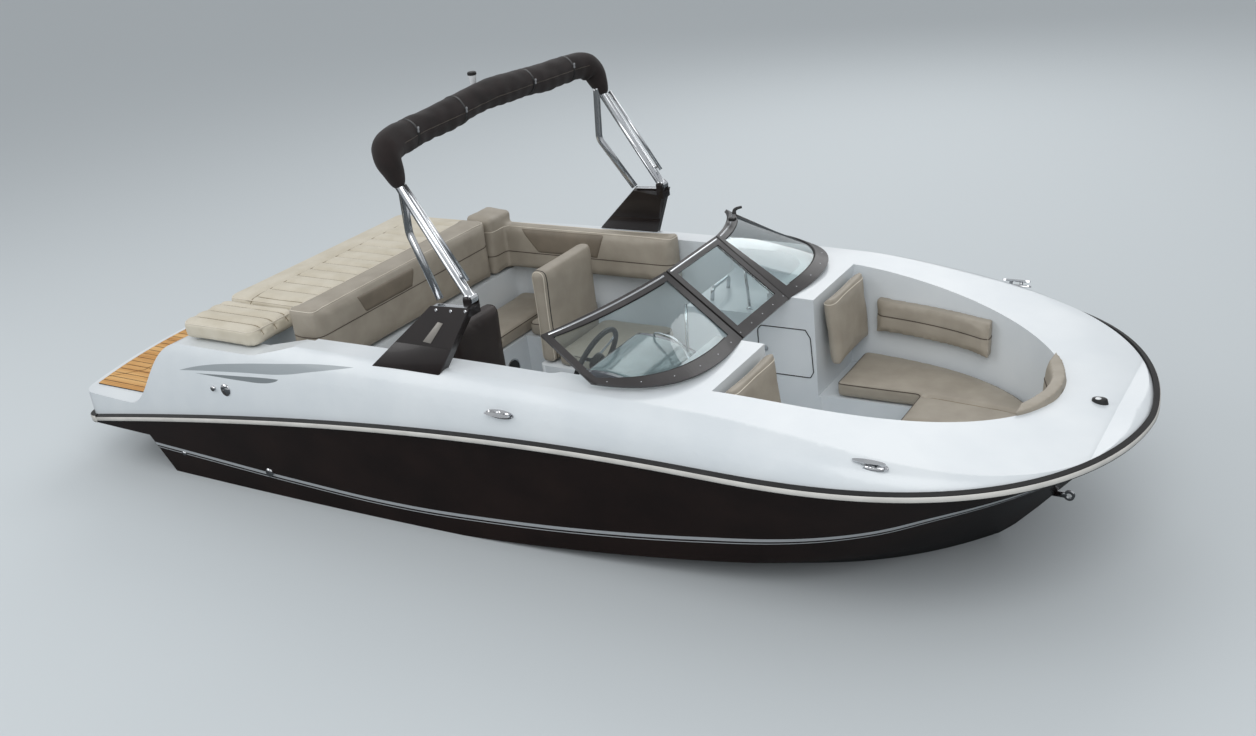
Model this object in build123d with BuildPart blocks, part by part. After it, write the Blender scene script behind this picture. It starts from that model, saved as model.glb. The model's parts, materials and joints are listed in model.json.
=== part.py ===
"""Open-bow speedboat with a stern drive, in millimetres.

X points forward, Y to port and Z up. The origin is on the centreline, at the waterline.
Places along the boat are measured forward from the swim platform's aft corners, and heights
up from the base line under the keel; at(), station(), level() and side_view() turn them
into the frame of the finished model.
"""

import os
from math import cos, radians, sin
from typing import NamedTuple

from build123d import *

# Frame
ORIGIN_FROM_AFT = 3100
WATERLINE = 320
FAR = 4000

# Hull and deck outline
LENGTH = 6155
HALF_BEAM = 1220
BOW_START = 4400
STERN_HALF_BEAM = 1130
KEEL_HEIGHT = -60
CHINE_HALF_BEAM = 1020
CHINE_HEIGHT = 260
SHEER_AFT, SHEER_BOW = 638, 1070
JOINT_GAP = 0.6
CROWN_HALF_BEAM = 1095
CROWN_AFT, CROWN_BOW = 1330, 1105
CROWN_INSET = 135

# Transom and swim platform
TRANSOM = 560
TRANSOM_RAKE = 12
PLATFORM_TOP = 830
PLATFORM_UNDERSIDE = 600
PLATFORM_LENGTH = 500
DRIVE_TUNNEL_HALF = 330
DRIVE_TUNNEL_TOP = 730
PLATFORM_BULGE, PLATFORM_LIP = 160, 50

# Inside
LINER = 25
SOLE = 480
COCKPIT_AFT = 1980
COCKPIT_HALF = 960
DASH_AFT = 3620
DASH_FRONT = 4130
DASH_SHELF = 1225
WALKWAY_HALF = 300
KNEE_DEPTH = 420
KNEE_TOP = 1040
CONSOLE_FRONT = 4400
SEAT_BASE = 780
CORNER = 70

# Bow well
WELL_FRONT = 5830
WELL_HALF = 875
WELL_TAPER = 90
FOOTWELL_FRONT = 4960

# Engine bay and sun pad
BAY_AFT, BAY_FRONT = 760, 1700
BAY_HALF = 500
BAY_FLOOR, BAY_SHELF, BAY_MOUTH = 200, 900, 1040
HATCH_SEAL = 6
HATCH_TOP = 1300
HATCH_THICKNESS = 28
HATCH_AFT, HATCH_FRONT = 1000, 1755
HATCH_STARBOARD, HATCH_PORT = -690, 960
HATCH_PIVOT_X, HATCH_PIVOT_Z = 992, 1284
KNUCKLE, KNUCKLE_LENGTH = 8, 90
HATCH_KNUCKLES = (-450, 135, 720)
PAD = 100
TROUGH_FLOOR = 960
TROUGH_OUTER, TROUGH_INNER = -985, -720
BACKREST_FOOT = 1100
BACKREST_HALF = 930
DASH_HALF = 930
PLATFORM_CORNER = 150
GAP = 8
CLEAR = 0.5
RUNNING_GAP = 6

# Rub rail
RUB_PROUD = 26
RUB_HEIGHT = 48
RUB_BEVEL, RUB_TUCK = 8, 4

# Platform panels
DECKING_RIM, DECKING_FRONT = 45, 470
DECKING_HALF, DECKING_JOINT = 1020, 8
# Joint between the aft band and the side steps, from the aft corner inward: (place, half breadth)
JOINT_LINE = ((-30, 985), (190, 770), (180, 560), (DECKING_FRONT + 20, 300))
DECKING_THICKNESS = 6

# Engine
ENGINE_CLEAR = 60
ENGINE_LENGTH, ENGINE_HALF, ENGINE_HEIGHT = 760, 360, 620

# Sun pad filler over the walk-through
FILLER_AFT, FILLER_FRONT, FILLER_OUTER = 1040, 1650, -1085

# Aft seats
AFT_SEAT_BASE = 820
BACKREST_TOP = 1500
BENCH_HALF = 700
BENCH_FRONT = 2330
LOUNGE_INNER = 700
LOUNGE_EDGE = 480
LOUNGE_BACK = 110
LOUNGE_FRONT = 3260
LOUNGE_TOP = 1420

# Companion seat
COMPANION_AFT, COMPANION_FRONT = 2620, 3260
COMPANION_INNER, COMPANION_OUTER = 190, 780
COMPANION_TOP = 1390
SEAT_BACK = 110

# Helm seat
HELM_X, HELM_Y = 3000, -560
HELM_REACH, HELM_SEAT_HALF = 290, 240
HELM_SEAT_BASE = 880
HELM_BACK_TOP = 1420
PEDESTAL_RADIUS = 60
PEDESTAL_FOOT_RADIUS, PEDESTAL_FOOT = 150, 14

# Helm
HOOD_HALF = 250
WHEEL_X, WHEEL_Z = 3560, 1255
WHEEL_RADIUS, RIM_RADIUS = 180, 14
WHEEL_TILT = 25
HUB_RADIUS, HUB_DEPTH = 45, 30
SPOKE_ANGLES = (90, 210, 330)
SPOKE_WIDTH = 26
COLUMN_RADIUS, COLUMN_LENGTH = 40, 120
THROTTLE_X, THROTTLE_Z = 3300, 1120

# Bow seats
FOOTWELL_HALF = 330
BOW_BACK_TOP = 1330
BOLSTER_FOOT, BOLSTER_TOP = 1000, 1190
BOLSTER_DEPTH = 60
BOLSTER_AFT, BOLSTER_FRONT = 4560, 5250
NOSE_AFT = 5640

# Windscreen
SCREEN_DOOR_HALF = 278
SCREEN_FOOT, SCREEN_HEAD = 0.13, 0.09
FRAME_DEPTH, GLASS = 20, 6
DOOR_GAP = 10
DOOR_KNUCKLE, DOOR_KNUCKLE_LENGTH = 6, 60
STAY_RADIUS = 8

# Tower
TOWER_FOOT = 3147
TOWER_PIVOT = 1708
LEG_HALF = 963
BASE_HALF, BASE_FOOT, BASE_LEAN, BASE_THICKNESS = 1100, 1340, 18, 50
# Side plate's corners as rows of (place, height)
BASE_CORNERS = ((2523, 1300), (2982, 1300), (3172, 1672), (2930, 1662))
EYE_HALF, TOWER_EYE, TOWER_PIN = 27, 28, 8
CHEEK, CHEEK_GAP, CHEEK_RADIUS = 8, 1, 22
TUBE_RADIUS, STRUT_RADIUS = 25, 20
LEG_BEND, ARCH_BEND, CROWN_BEND = 150, 400, 2000
STRUT_BEND = 90
ROD_RADIUS = 10
COVER_RADIUS = 80
LIGHT_X, LIGHT_FOOT, LIGHT_TOP, LIGHT_RADIUS = 2600, 2532, 2602, 22

# Drive
STEER_X, TRIM_Z = 440, 300
RING_OUTER, RING_INNER, RING_HEIGHT, RING_DEPTH = 150, 110, 160, 60
RING_BAR = 40
PIN_RADIUS, PIN_FIT = 15, 0.3
BELL_RADIUS, BELL_HALF = 90, 98
CASE_HALF = 80
PROP_RADIUS, PROP_Z = 178, -230
PROP_HUB, PROP_AFT, PROP_FORE = 46, -140, -20
BLADES = 3
BLADE_THICKNESS = 9
# Blade sections as rows of (radius, chord, pitch angle)
BLADE_ROWS = ((36, 86, 62), (110, 128, 40), (170, 86, 30))

# Fittings
CLEAT_LENGTH = 165
# Cleats as rows of (place, half breadth, height, tilt above level)
CLEAT_ROWS = ((3410, 1199, 1227, 16), (5248, 1082, 1217, 64))
BOW_LIGHT_X, BOW_LIGHT_Z = 5937, 1100
EYE_X, EYE_Z = 5815, 600
EYE_OUTER, EYE_RADIUS, EYE_WIDTH = 26, 14, 14
# Fuel cap, its vent and two outlets: place, side, height, radius, stand-off, what it sits on
FITTING_ROWS = ((1446, -1180, 1062, 36, 6, "deck"), (1344, -1180, 1058, 15, 10, "deck"),
                (815, -1094, 505, 14, 9, "hull"), (1537, -1092, 505, 27, 9, "hull"))


class Rail(NamedTuple):
    """Control points of one lengthwise edge: straight stretch first, then the bow."""

    aft: list
    bow: list


def at(x, y, z):
    return Vector(x - ORIGIN_FROM_AFT, y, z - WATERLINE)


def station(x):
    return Plane(origin=at(x, 0, 0), x_dir=(0, 1, 0), z_dir=(1, 0, 0))


def level(z):
    return Plane(origin=at(0, 0, z))


def side_view(y=0):
    return Plane(origin=at(0, y, 0), x_dir=(1, 0, 0), z_dir=(0, -1, 0))


def mirrored(points):
    return [Vector(p.X, -p.Y, p.Z) for p in points]


def dropped(rail, z):
    """The same edge seen from above, at one height."""
    return Rail(*[[Vector(p.X, p.Y, z - WATERLINE) for p in run] for run in rail])


def panels(strips):
    """Both sides' skin panels, one for each strip and run."""
    skins = []
    for strip in strips:
        for run in ("aft", "bow"):
            rows = [getattr(rail, run) for rail in strip]
            skins.append(Face.make_bezier_surface(rows))
            skins.append(Face.make_bezier_surface([mirrored(row) for row in rows]))
    return skins


def flat_cap(rail):
    port = [Edge.make_bezier(*rail.aft), Edge.make_bezier(*rail.bow)]
    starboard = [Edge.make_bezier(*mirrored(run)) for run in rail]
    across = Edge.make_line(rail.aft[0], mirrored(rail.aft)[0])
    return Face(Wire(port + starboard + [across]))


def aft_cap(strips):
    columns = [[rail.aft[0] for rail in strip] for strip in strips]
    edges = [Edge.make_bezier(*points) for points in columns]
    edges += [Edge.make_bezier(*mirrored(points)) for points in columns]
    for end in (columns[0][0], columns[-1][-1]):
        if end.Y > 1:
            edges.append(Edge.make_line(end, mirrored([end])[0]))
    return Face(Wire(edges))


def closed_blank(strips):
    """Solid between both sides' skins, with flat ends where a rail leaves the centreline."""
    faces = panels(strips) + [aft_cap(strips)]
    for rail in (strips[0][0], strips[-1][-1]):
        if rail.aft[0].Y > 1:
            faces.append(flat_cap(rail))
    return Solid(Shell(faces))


def rail_from(aft_rows, bow_rows):
    return Rail([at(*row) for row in aft_rows], [at(*row) for row in bow_rows])


# Lengthwise edges, as rows of (place, half breadth, height)
RUN = BOW_START / 3
keel = rail_from(
    [(0, 0, KEEL_HEIGHT), (RUN, 0, KEEL_HEIGHT), (2 * RUN, 0, KEEL_HEIGHT),
     (BOW_START, 0, KEEL_HEIGHT)],
    [(BOW_START, 0, KEEL_HEIGHT), (4765, 0, KEEL_HEIGHT), (5090, 0, 30), (5340, 0, 190),
     (LENGTH - 595, 0, 390)],
)
chine = rail_from(
    [(0, CHINE_HALF_BEAM, CHINE_HEIGHT), (RUN, CHINE_HALF_BEAM + 20, CHINE_HEIGHT),
     (2 * RUN, CHINE_HALF_BEAM + 20, CHINE_HEIGHT + 5), (BOW_START, 950, 470)],
    [(BOW_START, 950, 470), (4750, 928, 515), (5200, 830, 560), (5500, 420, 550),
     (LENGTH - 485, 0, 510)],
)
sheer = rail_from(
    [(0, STERN_HALF_BEAM, SHEER_AFT), (RUN, HALF_BEAM - 5, 911),
     (2 * RUN, HALF_BEAM, 1120), (BOW_START, HALF_BEAM, 1114)],
    [(BOW_START, HALF_BEAM, 1114), (4952, HALF_BEAM, 1114), (6040, 1333, 1122),
     (LENGTH, 256, 1078), (LENGTH, 0, SHEER_BOW)],
)
shoulder = rail_from(
    [(0, STERN_HALF_BEAM - 5, 1150), (RUN, HALF_BEAM - 15, 1290),
     (2 * RUN, HALF_BEAM - 12, 1385), (BOW_START, HALF_BEAM - 12, 1315)],
    [(BOW_START, HALF_BEAM - 12, 1315), (4940, HALF_BEAM - 22, 1296), (5990, 1290, 1190),
     (LENGTH - 15, 300, 1115), (LENGTH - 15, 0, CROWN_BOW + 5)],
)
crown = rail_from(
    [(0, CROWN_HALF_BEAM - 40, CROWN_AFT), (RUN, CROWN_HALF_BEAM, CROWN_AFT + 10),
     (2 * RUN, CROWN_HALF_BEAM - 5, CROWN_AFT + 65), (BOW_START, 1070, 1345)],
    [(BOW_START, 1070, 1345), (4850, 1058, 1330), (5600, 960, 1160), (6000, 430, 1112),
     (LENGTH - CROWN_INSET, 0, CROWN_BOW)],
)


def above(rail, drop, top=2500):
    """Everything over an edge, seen from the side."""
    with BuildPart() as tool:
        with BuildSketch(side_view()):
            with BuildLine():
                shift = Vector(ORIGIN_FROM_AFT, WATERLINE - drop)
                runs = [[Vector(p.X, p.Z) + shift for p in run] for run in rail]
                for run in runs:
                    Bezier(*run)
                start, tip = runs[0][0], runs[1][-1]
                Polyline(tip, (LENGTH + 500, tip.Y), (LENGTH + 500, top), (-500, top),
                         (-500, start.Y), start)
            make_face()
        extrude(amount=FAR, both=True)
    return tool.part


def box_between(low, high, corner=0):
    """Upright block from its low to its high corner, its upright edges rounded."""
    a, b = at(*low), at(*high)
    middle, size = (a + b) * 0.5, b - a
    with BuildPart() as block:
        with BuildSketch(Plane(origin=(middle.X, middle.Y, a.Z))):
            if corner:
                RectangleRounded(size.X, size.Y, corner)
            else:
                Rectangle(size.X, size.Y)
        extrude(amount=size.Z)
    return block.part


def well_outline(grow, shrink=0):
    """Bow well seen from above: straight across aft, round at the bow."""
    half, front = WELL_HALF + grow - shrink, WELL_FRONT + grow - shrink * 1.6
    run = [(CONSOLE_FRONT - grow, half), (4850, half - 45), (5450 + 0.7 * grow - shrink, half - 75),
           (front, 350 + grow - 0.6 * shrink), (front, 0)]
    with BuildSketch() as outline:
        with BuildLine():
            Bezier(*run)
            Bezier(*[(x, -y) for x, y in run])
            Line(run[0], (run[0][0], -run[0][1]))
        make_face()
    return outline.sketch


def open_space(grow=0):
    """Room that people use, or with grow the outside of the liner around it."""
    top = 1800
    with BuildPart() as space:
        add(box_between((COCKPIT_AFT - grow, -COCKPIT_HALF - grow, SOLE - grow),
                        (DASH_AFT + grow, COCKPIT_HALF + grow, top), CORNER + grow))
        add(box_between((DASH_AFT - 100, -WALKWAY_HALF - grow, SOLE - grow),
                        (CONSOLE_FRONT + 100, WALKWAY_HALF + grow, top)))
        add(box_between((CONSOLE_FRONT - grow, -WALKWAY_HALF - 20 - grow, SOLE - grow),
                        (FOOTWELL_FRONT + grow, WALKWAY_HALF + 20 + grow, top), 60 + grow))
        for side in (-1, 1):
            ends = sorted((side * (WALKWAY_HALF + 40 - grow), side * (COCKPIT_HALF - 40 + grow)))
            add(box_between((DASH_AFT - 100, ends[0], SOLE + 20 - grow),
                            (DASH_AFT + KNEE_DEPTH + grow, ends[1], KNEE_TOP + grow)))
        with BuildSketch(level(SEAT_BASE - grow)):
            add(well_outline(grow, WELL_TAPER))
        with BuildSketch(level(1400)):
            add(well_outline(grow))
        loft(ruled=True)
        with BuildSketch(level(1399)):
            add(well_outline(grow))
        extrude(amount=300)
    return space.part


def stern_profile():
    """What is cut away over the platform, the transom slope and the sun pad's seat."""
    with BuildPart() as tool:
        with BuildSketch(side_view()):
            with BuildLine():
                Line((-200, PLATFORM_TOP), (PLATFORM_LENGTH, PLATFORM_TOP))
                Bezier((PLATFORM_LENGTH, PLATFORM_TOP), (720, PLATFORM_TOP), (780, 1240),
                       (1040, HATCH_TOP - HATCH_THICKNESS))
                Polyline((1040, HATCH_TOP - HATCH_THICKNESS), (1670, HATCH_TOP - 15),
                         (2250, 1420), (2250, 2500), (-200, 2500), (-200, PLATFORM_TOP))
            make_face()
        extrude(amount=FAR, both=True)
    return tool.part


def drive_tunnel(aft):
    """Room for the drive under the platform, from a place near its aft edge."""
    return box_between((aft, -DRIVE_TUNNEL_HALF, 400),
                       (PLATFORM_LENGTH - 20, DRIVE_TUNNEL_HALF, DRIVE_TUNNEL_TOP))


def below_platform():
    """What is cut away aft of the raked transom, under the platform."""
    lean = sin(radians(TRANSOM_RAKE)) / cos(radians(TRANSOM_RAKE))
    foot = TRANSOM + (PLATFORM_UNDERSIDE + 400) * lean
    with BuildPart() as tool:
        with BuildSketch(side_view()):
            Polygon((-500, -400), (foot, -400), (TRANSOM, PLATFORM_UNDERSIDE),
                    (-500, PLATFORM_UNDERSIDE + 20), align=None)
        extrude(amount=FAR, both=True)
        add(drive_tunnel(-500))
    return tool.part


def corner_arc(side, grow=0, bulge=PLATFORM_BULGE):
    """Start, middle and end of a stern corner's arc, tangent to its aft edge and side."""
    run = sheer.aft[1] - sheer.aft[0]
    outward = Vector(-run.Y, run.X, 0).normalized()
    reach = PLATFORM_CORNER + grow
    middle_y = (STERN_HALF_BEAM + run.Y / run.X * PLATFORM_CORNER
                - PLATFORM_CORNER / outward.Y)
    centre = Vector(PLATFORM_CORNER, side * middle_y, 0)
    aft = Vector(-1, side * 2 * bulge / middle_y, 0).normalized()
    forward = Vector(outward.X, side * outward.Y, 0)
    directions = (aft, (aft + forward).normalized(), forward)
    return [centre + direction * reach for direction in directions]


def stern_edge(grow=0):
    """Platform's outer edge from its port to its starboard side, seen from above."""
    port, starboard = corner_arc(1, grow), corner_arc(-1, grow)
    ThreePointArc(*reversed(port))
    ThreePointArc(port[0], (-PLATFORM_BULGE - grow, 0), starboard[0])
    ThreePointArc(*starboard)
    return port[2], starboard[2]


def bulging_stern(blank, low, high):
    """The blank carried aft between two heights, out to the platform's outer edge."""
    half = STERN_HALF_BEAM - PLATFORM_CORNER / 2
    with BuildPart() as shape:
        add(blank)
        add(box_between((-PLATFORM_BULGE - 50, -half, low), (1, half, high)))
        with BuildSketch(level(300)):
            with BuildLine():
                port, starboard = stern_edge()
                Polyline(port, (port.X, FAR / 2), (-FAR / 2, FAR / 2), (-FAR / 2, -FAR / 2),
                         (starboard.X, -FAR / 2), starboard)
            make_face()
        extrude(amount=1300, mode=Mode.SUBTRACT)
    return shape.part


def round_corners(blank):
    """The blank with a straight stern and round corners."""
    for side in (-1, 1):
        start, middle, end = corner_arc(side, bulge=0)
        far_out = side * (STERN_HALF_BEAM + 400)
        with BuildPart() as tool:
            with BuildSketch(level(300)):
                with BuildLine():
                    ThreePointArc(start, middle, end)
                    Polyline(end, (end.X, far_out), (-400, far_out), (-400, start.Y), start)
                make_face()
            extrude(amount=1300)
        blank = blank - tool.part
    return blank


rooms = open_space()
engine_bay = (box_between((BAY_AFT, -BAY_HALF, BAY_FLOOR), (BAY_FRONT, BAY_HALF, BAY_SHELF), 60)
              + box_between((BAY_MOUTH, -BAY_HALF, BAY_SHELF - 60),
                            (BAY_FRONT, BAY_HALF, HATCH_TOP + 100), 60))

with BuildPart() as lower_half:
    add(closed_blank([[keel, chine], [chine, sheer], [sheer, dropped(sheer, 1500)]]))
    add(above(sheer, JOINT_GAP), mode=Mode.SUBTRACT)
with BuildPart() as tub:
    add(open_space(LINER))
    add(above(sheer, 0), mode=Mode.SUBTRACT)

# Hull: dark lower moulding, solid under the sole, with the engine bay
with BuildPart() as hull:
    add(round_corners(lower_half.part))
    add(open_space(LINER + JOINT_GAP), mode=Mode.SUBTRACT)
    add(below_platform(), mode=Mode.SUBTRACT)
    add(engine_bay, mode=Mode.SUBTRACT)
hull.part.label = "hull"

# Deck: white upper moulding with the liner, consoles, seat bases and swim platform
with BuildPart() as deck:
    add(bulging_stern(closed_blank([[dropped(sheer, 400), sheer], [sheer, shoulder, crown],
                                    [crown, dropped(crown, 1900)]]), SHEER_AFT - 100,
                      PLATFORM_TOP))
    add(above(crown, 2), mode=Mode.SUBTRACT)
    add(above(sheer, 0), mode=Mode.INTERSECT)
    add(tub.part)
    add(rooms, mode=Mode.SUBTRACT)
    add(engine_bay, mode=Mode.SUBTRACT)
    add(stern_profile(), mode=Mode.SUBTRACT)
    add(drive_tunnel(PLATFORM_LIP - PLATFORM_BULGE), mode=Mode.SUBTRACT)
    add(box_between((HATCH_AFT - 20, HATCH_STARBOARD - GAP,
                     HATCH_TOP - HATCH_THICKNESS - HATCH_SEAL),
                    (HATCH_FRONT + GAP, HATCH_PORT + GAP, 1800)), mode=Mode.SUBTRACT)
    add(box_between((HATCH_FRONT + GAP, -BACKREST_HALF - GAP, BACKREST_FOOT),
                    (COCKPIT_AFT + 200, COCKPIT_HALF, 1800)), mode=Mode.SUBTRACT)
    add(box_between((BAY_AFT - 150, TROUGH_OUTER, TROUGH_FLOOR),
                    (COCKPIT_AFT + 50, TROUGH_INNER, 1800)), mode=Mode.SUBTRACT)
    with BuildSketch(level(DASH_SHELF)):
        with BuildLine():
            Polyline((DASH_AFT - 50, -DASH_HALF), (DASH_AFT - 50, DASH_HALF),
                     (DASH_FRONT - 250, DASH_HALF))
            RadiusArc((DASH_FRONT - 250, DASH_HALF), (DASH_FRONT, DASH_HALF - 250), 250)
            Line((DASH_FRONT, DASH_HALF - 250), (DASH_FRONT, 250 - DASH_HALF))
            RadiusArc((DASH_FRONT, 250 - DASH_HALF), (DASH_FRONT - 250, -DASH_HALF), 250)
            Line((DASH_FRONT - 250, -DASH_HALF), (DASH_AFT - 50, -DASH_HALF))
        make_face()
    extrude(amount=500, mode=Mode.SUBTRACT)
deck.part.label = "deck"

# Rub rail: one band along the joint of hull and deck, and another across the stern
def beside(rail, out, up):
    """The same edge moved outward and up."""
    moved = [[Vector(p.X, p.Y + out if p.Y > 1 else 0, p.Z + up) for p in run] for run in rail]
    moved[1][-2] += Vector(out, 0, 0)
    moved[1][-1] += Vector(out, 0, 0)
    return Rail(*moved)


rail_half = RUB_HEIGHT / 2
rail_edges = [beside(sheer, CLEAR, rail_half), beside(sheer, RUB_PROUD, rail_half - RUB_BEVEL),
              beside(sheer, RUB_PROUD, RUB_BEVEL - rail_half), beside(sheer, -RUB_TUCK, -rail_half)]
rail_faces = panels([[a, b] for a, b in zip(rail_edges, rail_edges[1:] + rail_edges[:1])])
end_corners = [rail.aft[0] for rail in rail_edges]
for corners in (end_corners, mirrored(end_corners)):
    rail_faces.append(Face(Wire.make_polygon(corners, close=True)))
rail_rise = (sheer.aft[1] - sheer.aft[0]).Z / (sheer.aft[1] - sheer.aft[0]).X
with BuildPart() as rub_rail:
    add(Solid(Shell(rail_faces)))
    join_x = corner_arc(1)[2].X
    add(box_between((-500, -FAR / 2, 0), (join_x + CLEAR, FAR / 2, 1500)), mode=Mode.SUBTRACT)
    tilt = Plane(origin=at(0, 0, SHEER_AFT), x_dir=(1, 0, rail_rise), z_dir=(-rail_rise, 0, 1))
    with BuildSketch(tilt):
        for grow, kind in ((RUB_PROUD, Mode.ADD), (CLEAR, Mode.SUBTRACT)):
            with BuildLine():
                Line(*stern_edge(grow))
            make_face(mode=kind)
        with Locations((join_x + 200, 0)):
            Rectangle(400, 2 * FAR, mode=Mode.SUBTRACT)
    extrude(amount=rail_half, both=True)
rub_rail.part.label = "rub_rail"


def pad(low, high, corner=40, edge=0, plane_tilt=None):
    """Plain upholstered block with rounded upright edges and a softened top."""
    with BuildPart() as cushion:
        add(box_between(low, high, corner))
        if edge:
            fillet(cushion.faces().sort_by(Axis.Z)[-1].edges(), edge)
    return cushion.part


def leaned(block, pivot, degrees):
    """The same block leaned aft about a transverse line."""
    axis = Axis(at(*pivot), (0, 1, 0))
    return block.rotate(axis, -degrees)


# Swim platform decking: one wood-look field, parted by a joint line on each side
with BuildPart() as platform_pads:
    with BuildSketch(level(PLATFORM_TOP)):
        with BuildLine():
            port, starboard = stern_edge(-DECKING_RIM)
            Polyline(port, (DECKING_FRONT, port.Y), (DECKING_FRONT, starboard.Y), starboard)
        make_face()
        Rectangle(4 * DECKING_FRONT, 2 * DECKING_HALF, mode=Mode.INTERSECT)
        for side in (-1, 1):
            with BuildLine():
                Polyline(*[(x, side * y) for x, y in JOINT_LINE])
                offset(amount=DECKING_JOINT / 2)
            make_face(mode=Mode.SUBTRACT)
    extrude(amount=DECKING_THICKNESS)
platform_pads.part.label = "platform_pads"

# Engine, one plain block on the bay floor
with BuildPart() as engine_block:
    add(box_between((BAY_AFT + ENGINE_CLEAR, -ENGINE_HALF, BAY_FLOOR),
                    (BAY_AFT + ENGINE_CLEAR + ENGINE_LENGTH, ENGINE_HALF,
                     BAY_FLOOR + ENGINE_HEIGHT), 30))
engine_block.part.label = "engine_block"

# Engine hatch under the main sun pad, hinged at its aft edge
with BuildPart() as engine_hatch:
    add(box_between((HATCH_AFT, HATCH_STARBOARD, HATCH_TOP - HATCH_THICKNESS),
                    (HATCH_FRONT, HATCH_PORT, HATCH_TOP), 40))
    for y in HATCH_KNUCKLES:
        with BuildSketch(side_view(y)):
            with Locations((HATCH_PIVOT_X, HATCH_PIVOT_Z)):
                Circle(KNUCKLE)
                Rectangle(2 * KNUCKLE, KNUCKLE, align=(Align.MIN, Align.CENTER))
        extrude(amount=KNUCKLE_LENGTH / 2, both=True)
engine_hatch.part.label = "engine_hatch"
with BuildPart() as sunpad_cushion:
    add(pad((HATCH_AFT + 5, HATCH_STARBOARD, HATCH_TOP),
            (HATCH_FRONT, HATCH_PORT, HATCH_TOP + PAD), 60, 25))
sunpad_cushion.part.label = "sunpad_cushion"
with BuildPart() as sunpad_filler:
    add(pad((FILLER_AFT, FILLER_OUTER, HATCH_TOP - 10),
            (FILLER_FRONT, HATCH_STARBOARD - GAP, HATCH_TOP + PAD), 60, 25))
sunpad_filler.part.label = "sunpad_filler"

# Aft seat: backrest on the bulkhead, bench and the lounge along the port side
with BuildPart() as aft_backrest:
    add(pad((HATCH_FRONT + 2 * GAP, -BACKREST_HALF, BACKREST_FOOT + CLEAR),
            (COCKPIT_AFT - CLEAR, LOUNGE_INNER, BACKREST_TOP), 30, 25))
aft_backrest.part.label = "aft_backrest"
fitted = open_space(-CLEAR)
with BuildPart() as seat_bases:
    add(box_between((COCKPIT_AFT, -BENCH_HALF, SOLE), (BENCH_FRONT, COCKPIT_HALF, AFT_SEAT_BASE)))
    add(box_between((BENCH_FRONT, LOUNGE_EDGE, SOLE),
                    (COMPANION_AFT - GAP, COCKPIT_HALF, AFT_SEAT_BASE)))
    add(box_between((COMPANION_AFT, COMPANION_INNER, SOLE),
                    (COMPANION_FRONT, COMPANION_OUTER, AFT_SEAT_BASE - 40), 40))
    add(fitted, mode=Mode.INTERSECT)
seat_bases.part.label = "seat_bases"
with BuildPart() as bench_cushion:
    add(pad((COCKPIT_AFT + 5, -BENCH_HALF, AFT_SEAT_BASE),
            (BENCH_FRONT + 10, COCKPIT_HALF - 5, AFT_SEAT_BASE + PAD), 40, 25))
    add(fitted, mode=Mode.INTERSECT)
bench_cushion.part.label = "bench_cushion"
with BuildPart() as lounge_cushion:
    add(pad((BENCH_FRONT + 15, LOUNGE_EDGE - 10, AFT_SEAT_BASE),
            (COMPANION_AFT - GAP, COCKPIT_HALF - 5, AFT_SEAT_BASE + PAD), 40, 25))
lounge_cushion.part.label = "lounge_cushion"
with BuildPart() as port_backrest:
    add(pad((HATCH_FRONT + 2 * GAP, LOUNGE_INNER + CLEAR, BACKREST_FOOT + CLEAR),
            (COCKPIT_AFT - CLEAR, COCKPIT_HALF - CLEAR, BACKREST_TOP), 30, 25))
    add(pad((COCKPIT_AFT - 60, COCKPIT_HALF - LOUNGE_BACK, BACKREST_FOOT + CLEAR),
            (LOUNGE_FRONT, COCKPIT_HALF - CLEAR, LOUNGE_TOP), 30, 25))
port_backrest.part.label = "port_backrest"

# Companion seat
with BuildPart() as companion_cushion:
    add(pad((COMPANION_AFT + SEAT_BACK, COMPANION_INNER, AFT_SEAT_BASE - 40),
            (COMPANION_FRONT + 20, COMPANION_OUTER, AFT_SEAT_BASE + 60), 60, 30))
companion_cushion.part.label = "companion_cushion"
with BuildPart() as companion_back:
    add(pad((COMPANION_AFT, COMPANION_INNER, AFT_SEAT_BASE - 40),
            (COMPANION_AFT + SEAT_BACK - CLEAR, COMPANION_OUTER, COMPANION_TOP), 50, 30))
companion_back.part.label = "companion_back"

# Helm seat, turning on its pedestal
with BuildPart() as helm_pedestal:
    with BuildSketch(Plane(origin=at(HELM_X, HELM_Y, SOLE))):
        Circle(PEDESTAL_FOOT_RADIUS)
    extrude(amount=PEDESTAL_FOOT)
    with BuildSketch(Plane(origin=at(HELM_X, HELM_Y, SOLE))):
        Circle(PEDESTAL_RADIUS)
    extrude(amount=HELM_SEAT_BASE - SOLE - RUNNING_GAP)
helm_pedestal.part.label = "helm_pedestal"
with BuildPart() as helm_cushion:
    add(pad((HELM_X - HELM_REACH + SEAT_BACK, HELM_Y - HELM_SEAT_HALF, HELM_SEAT_BASE),
            (HELM_X + HELM_REACH, HELM_Y + HELM_SEAT_HALF, HELM_SEAT_BASE + PAD + 15), 80, 30))
helm_cushion.part.label = "helm_cushion"
with BuildPart() as helm_back:
    add(pad((HELM_X - HELM_REACH, HELM_Y - HELM_SEAT_HALF, HELM_SEAT_BASE),
            (HELM_X - HELM_REACH + SEAT_BACK - CLEAR, HELM_Y + HELM_SEAT_HALF, HELM_BACK_TOP),
            50, 30))
helm_back.part.label = "helm_back"

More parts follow.
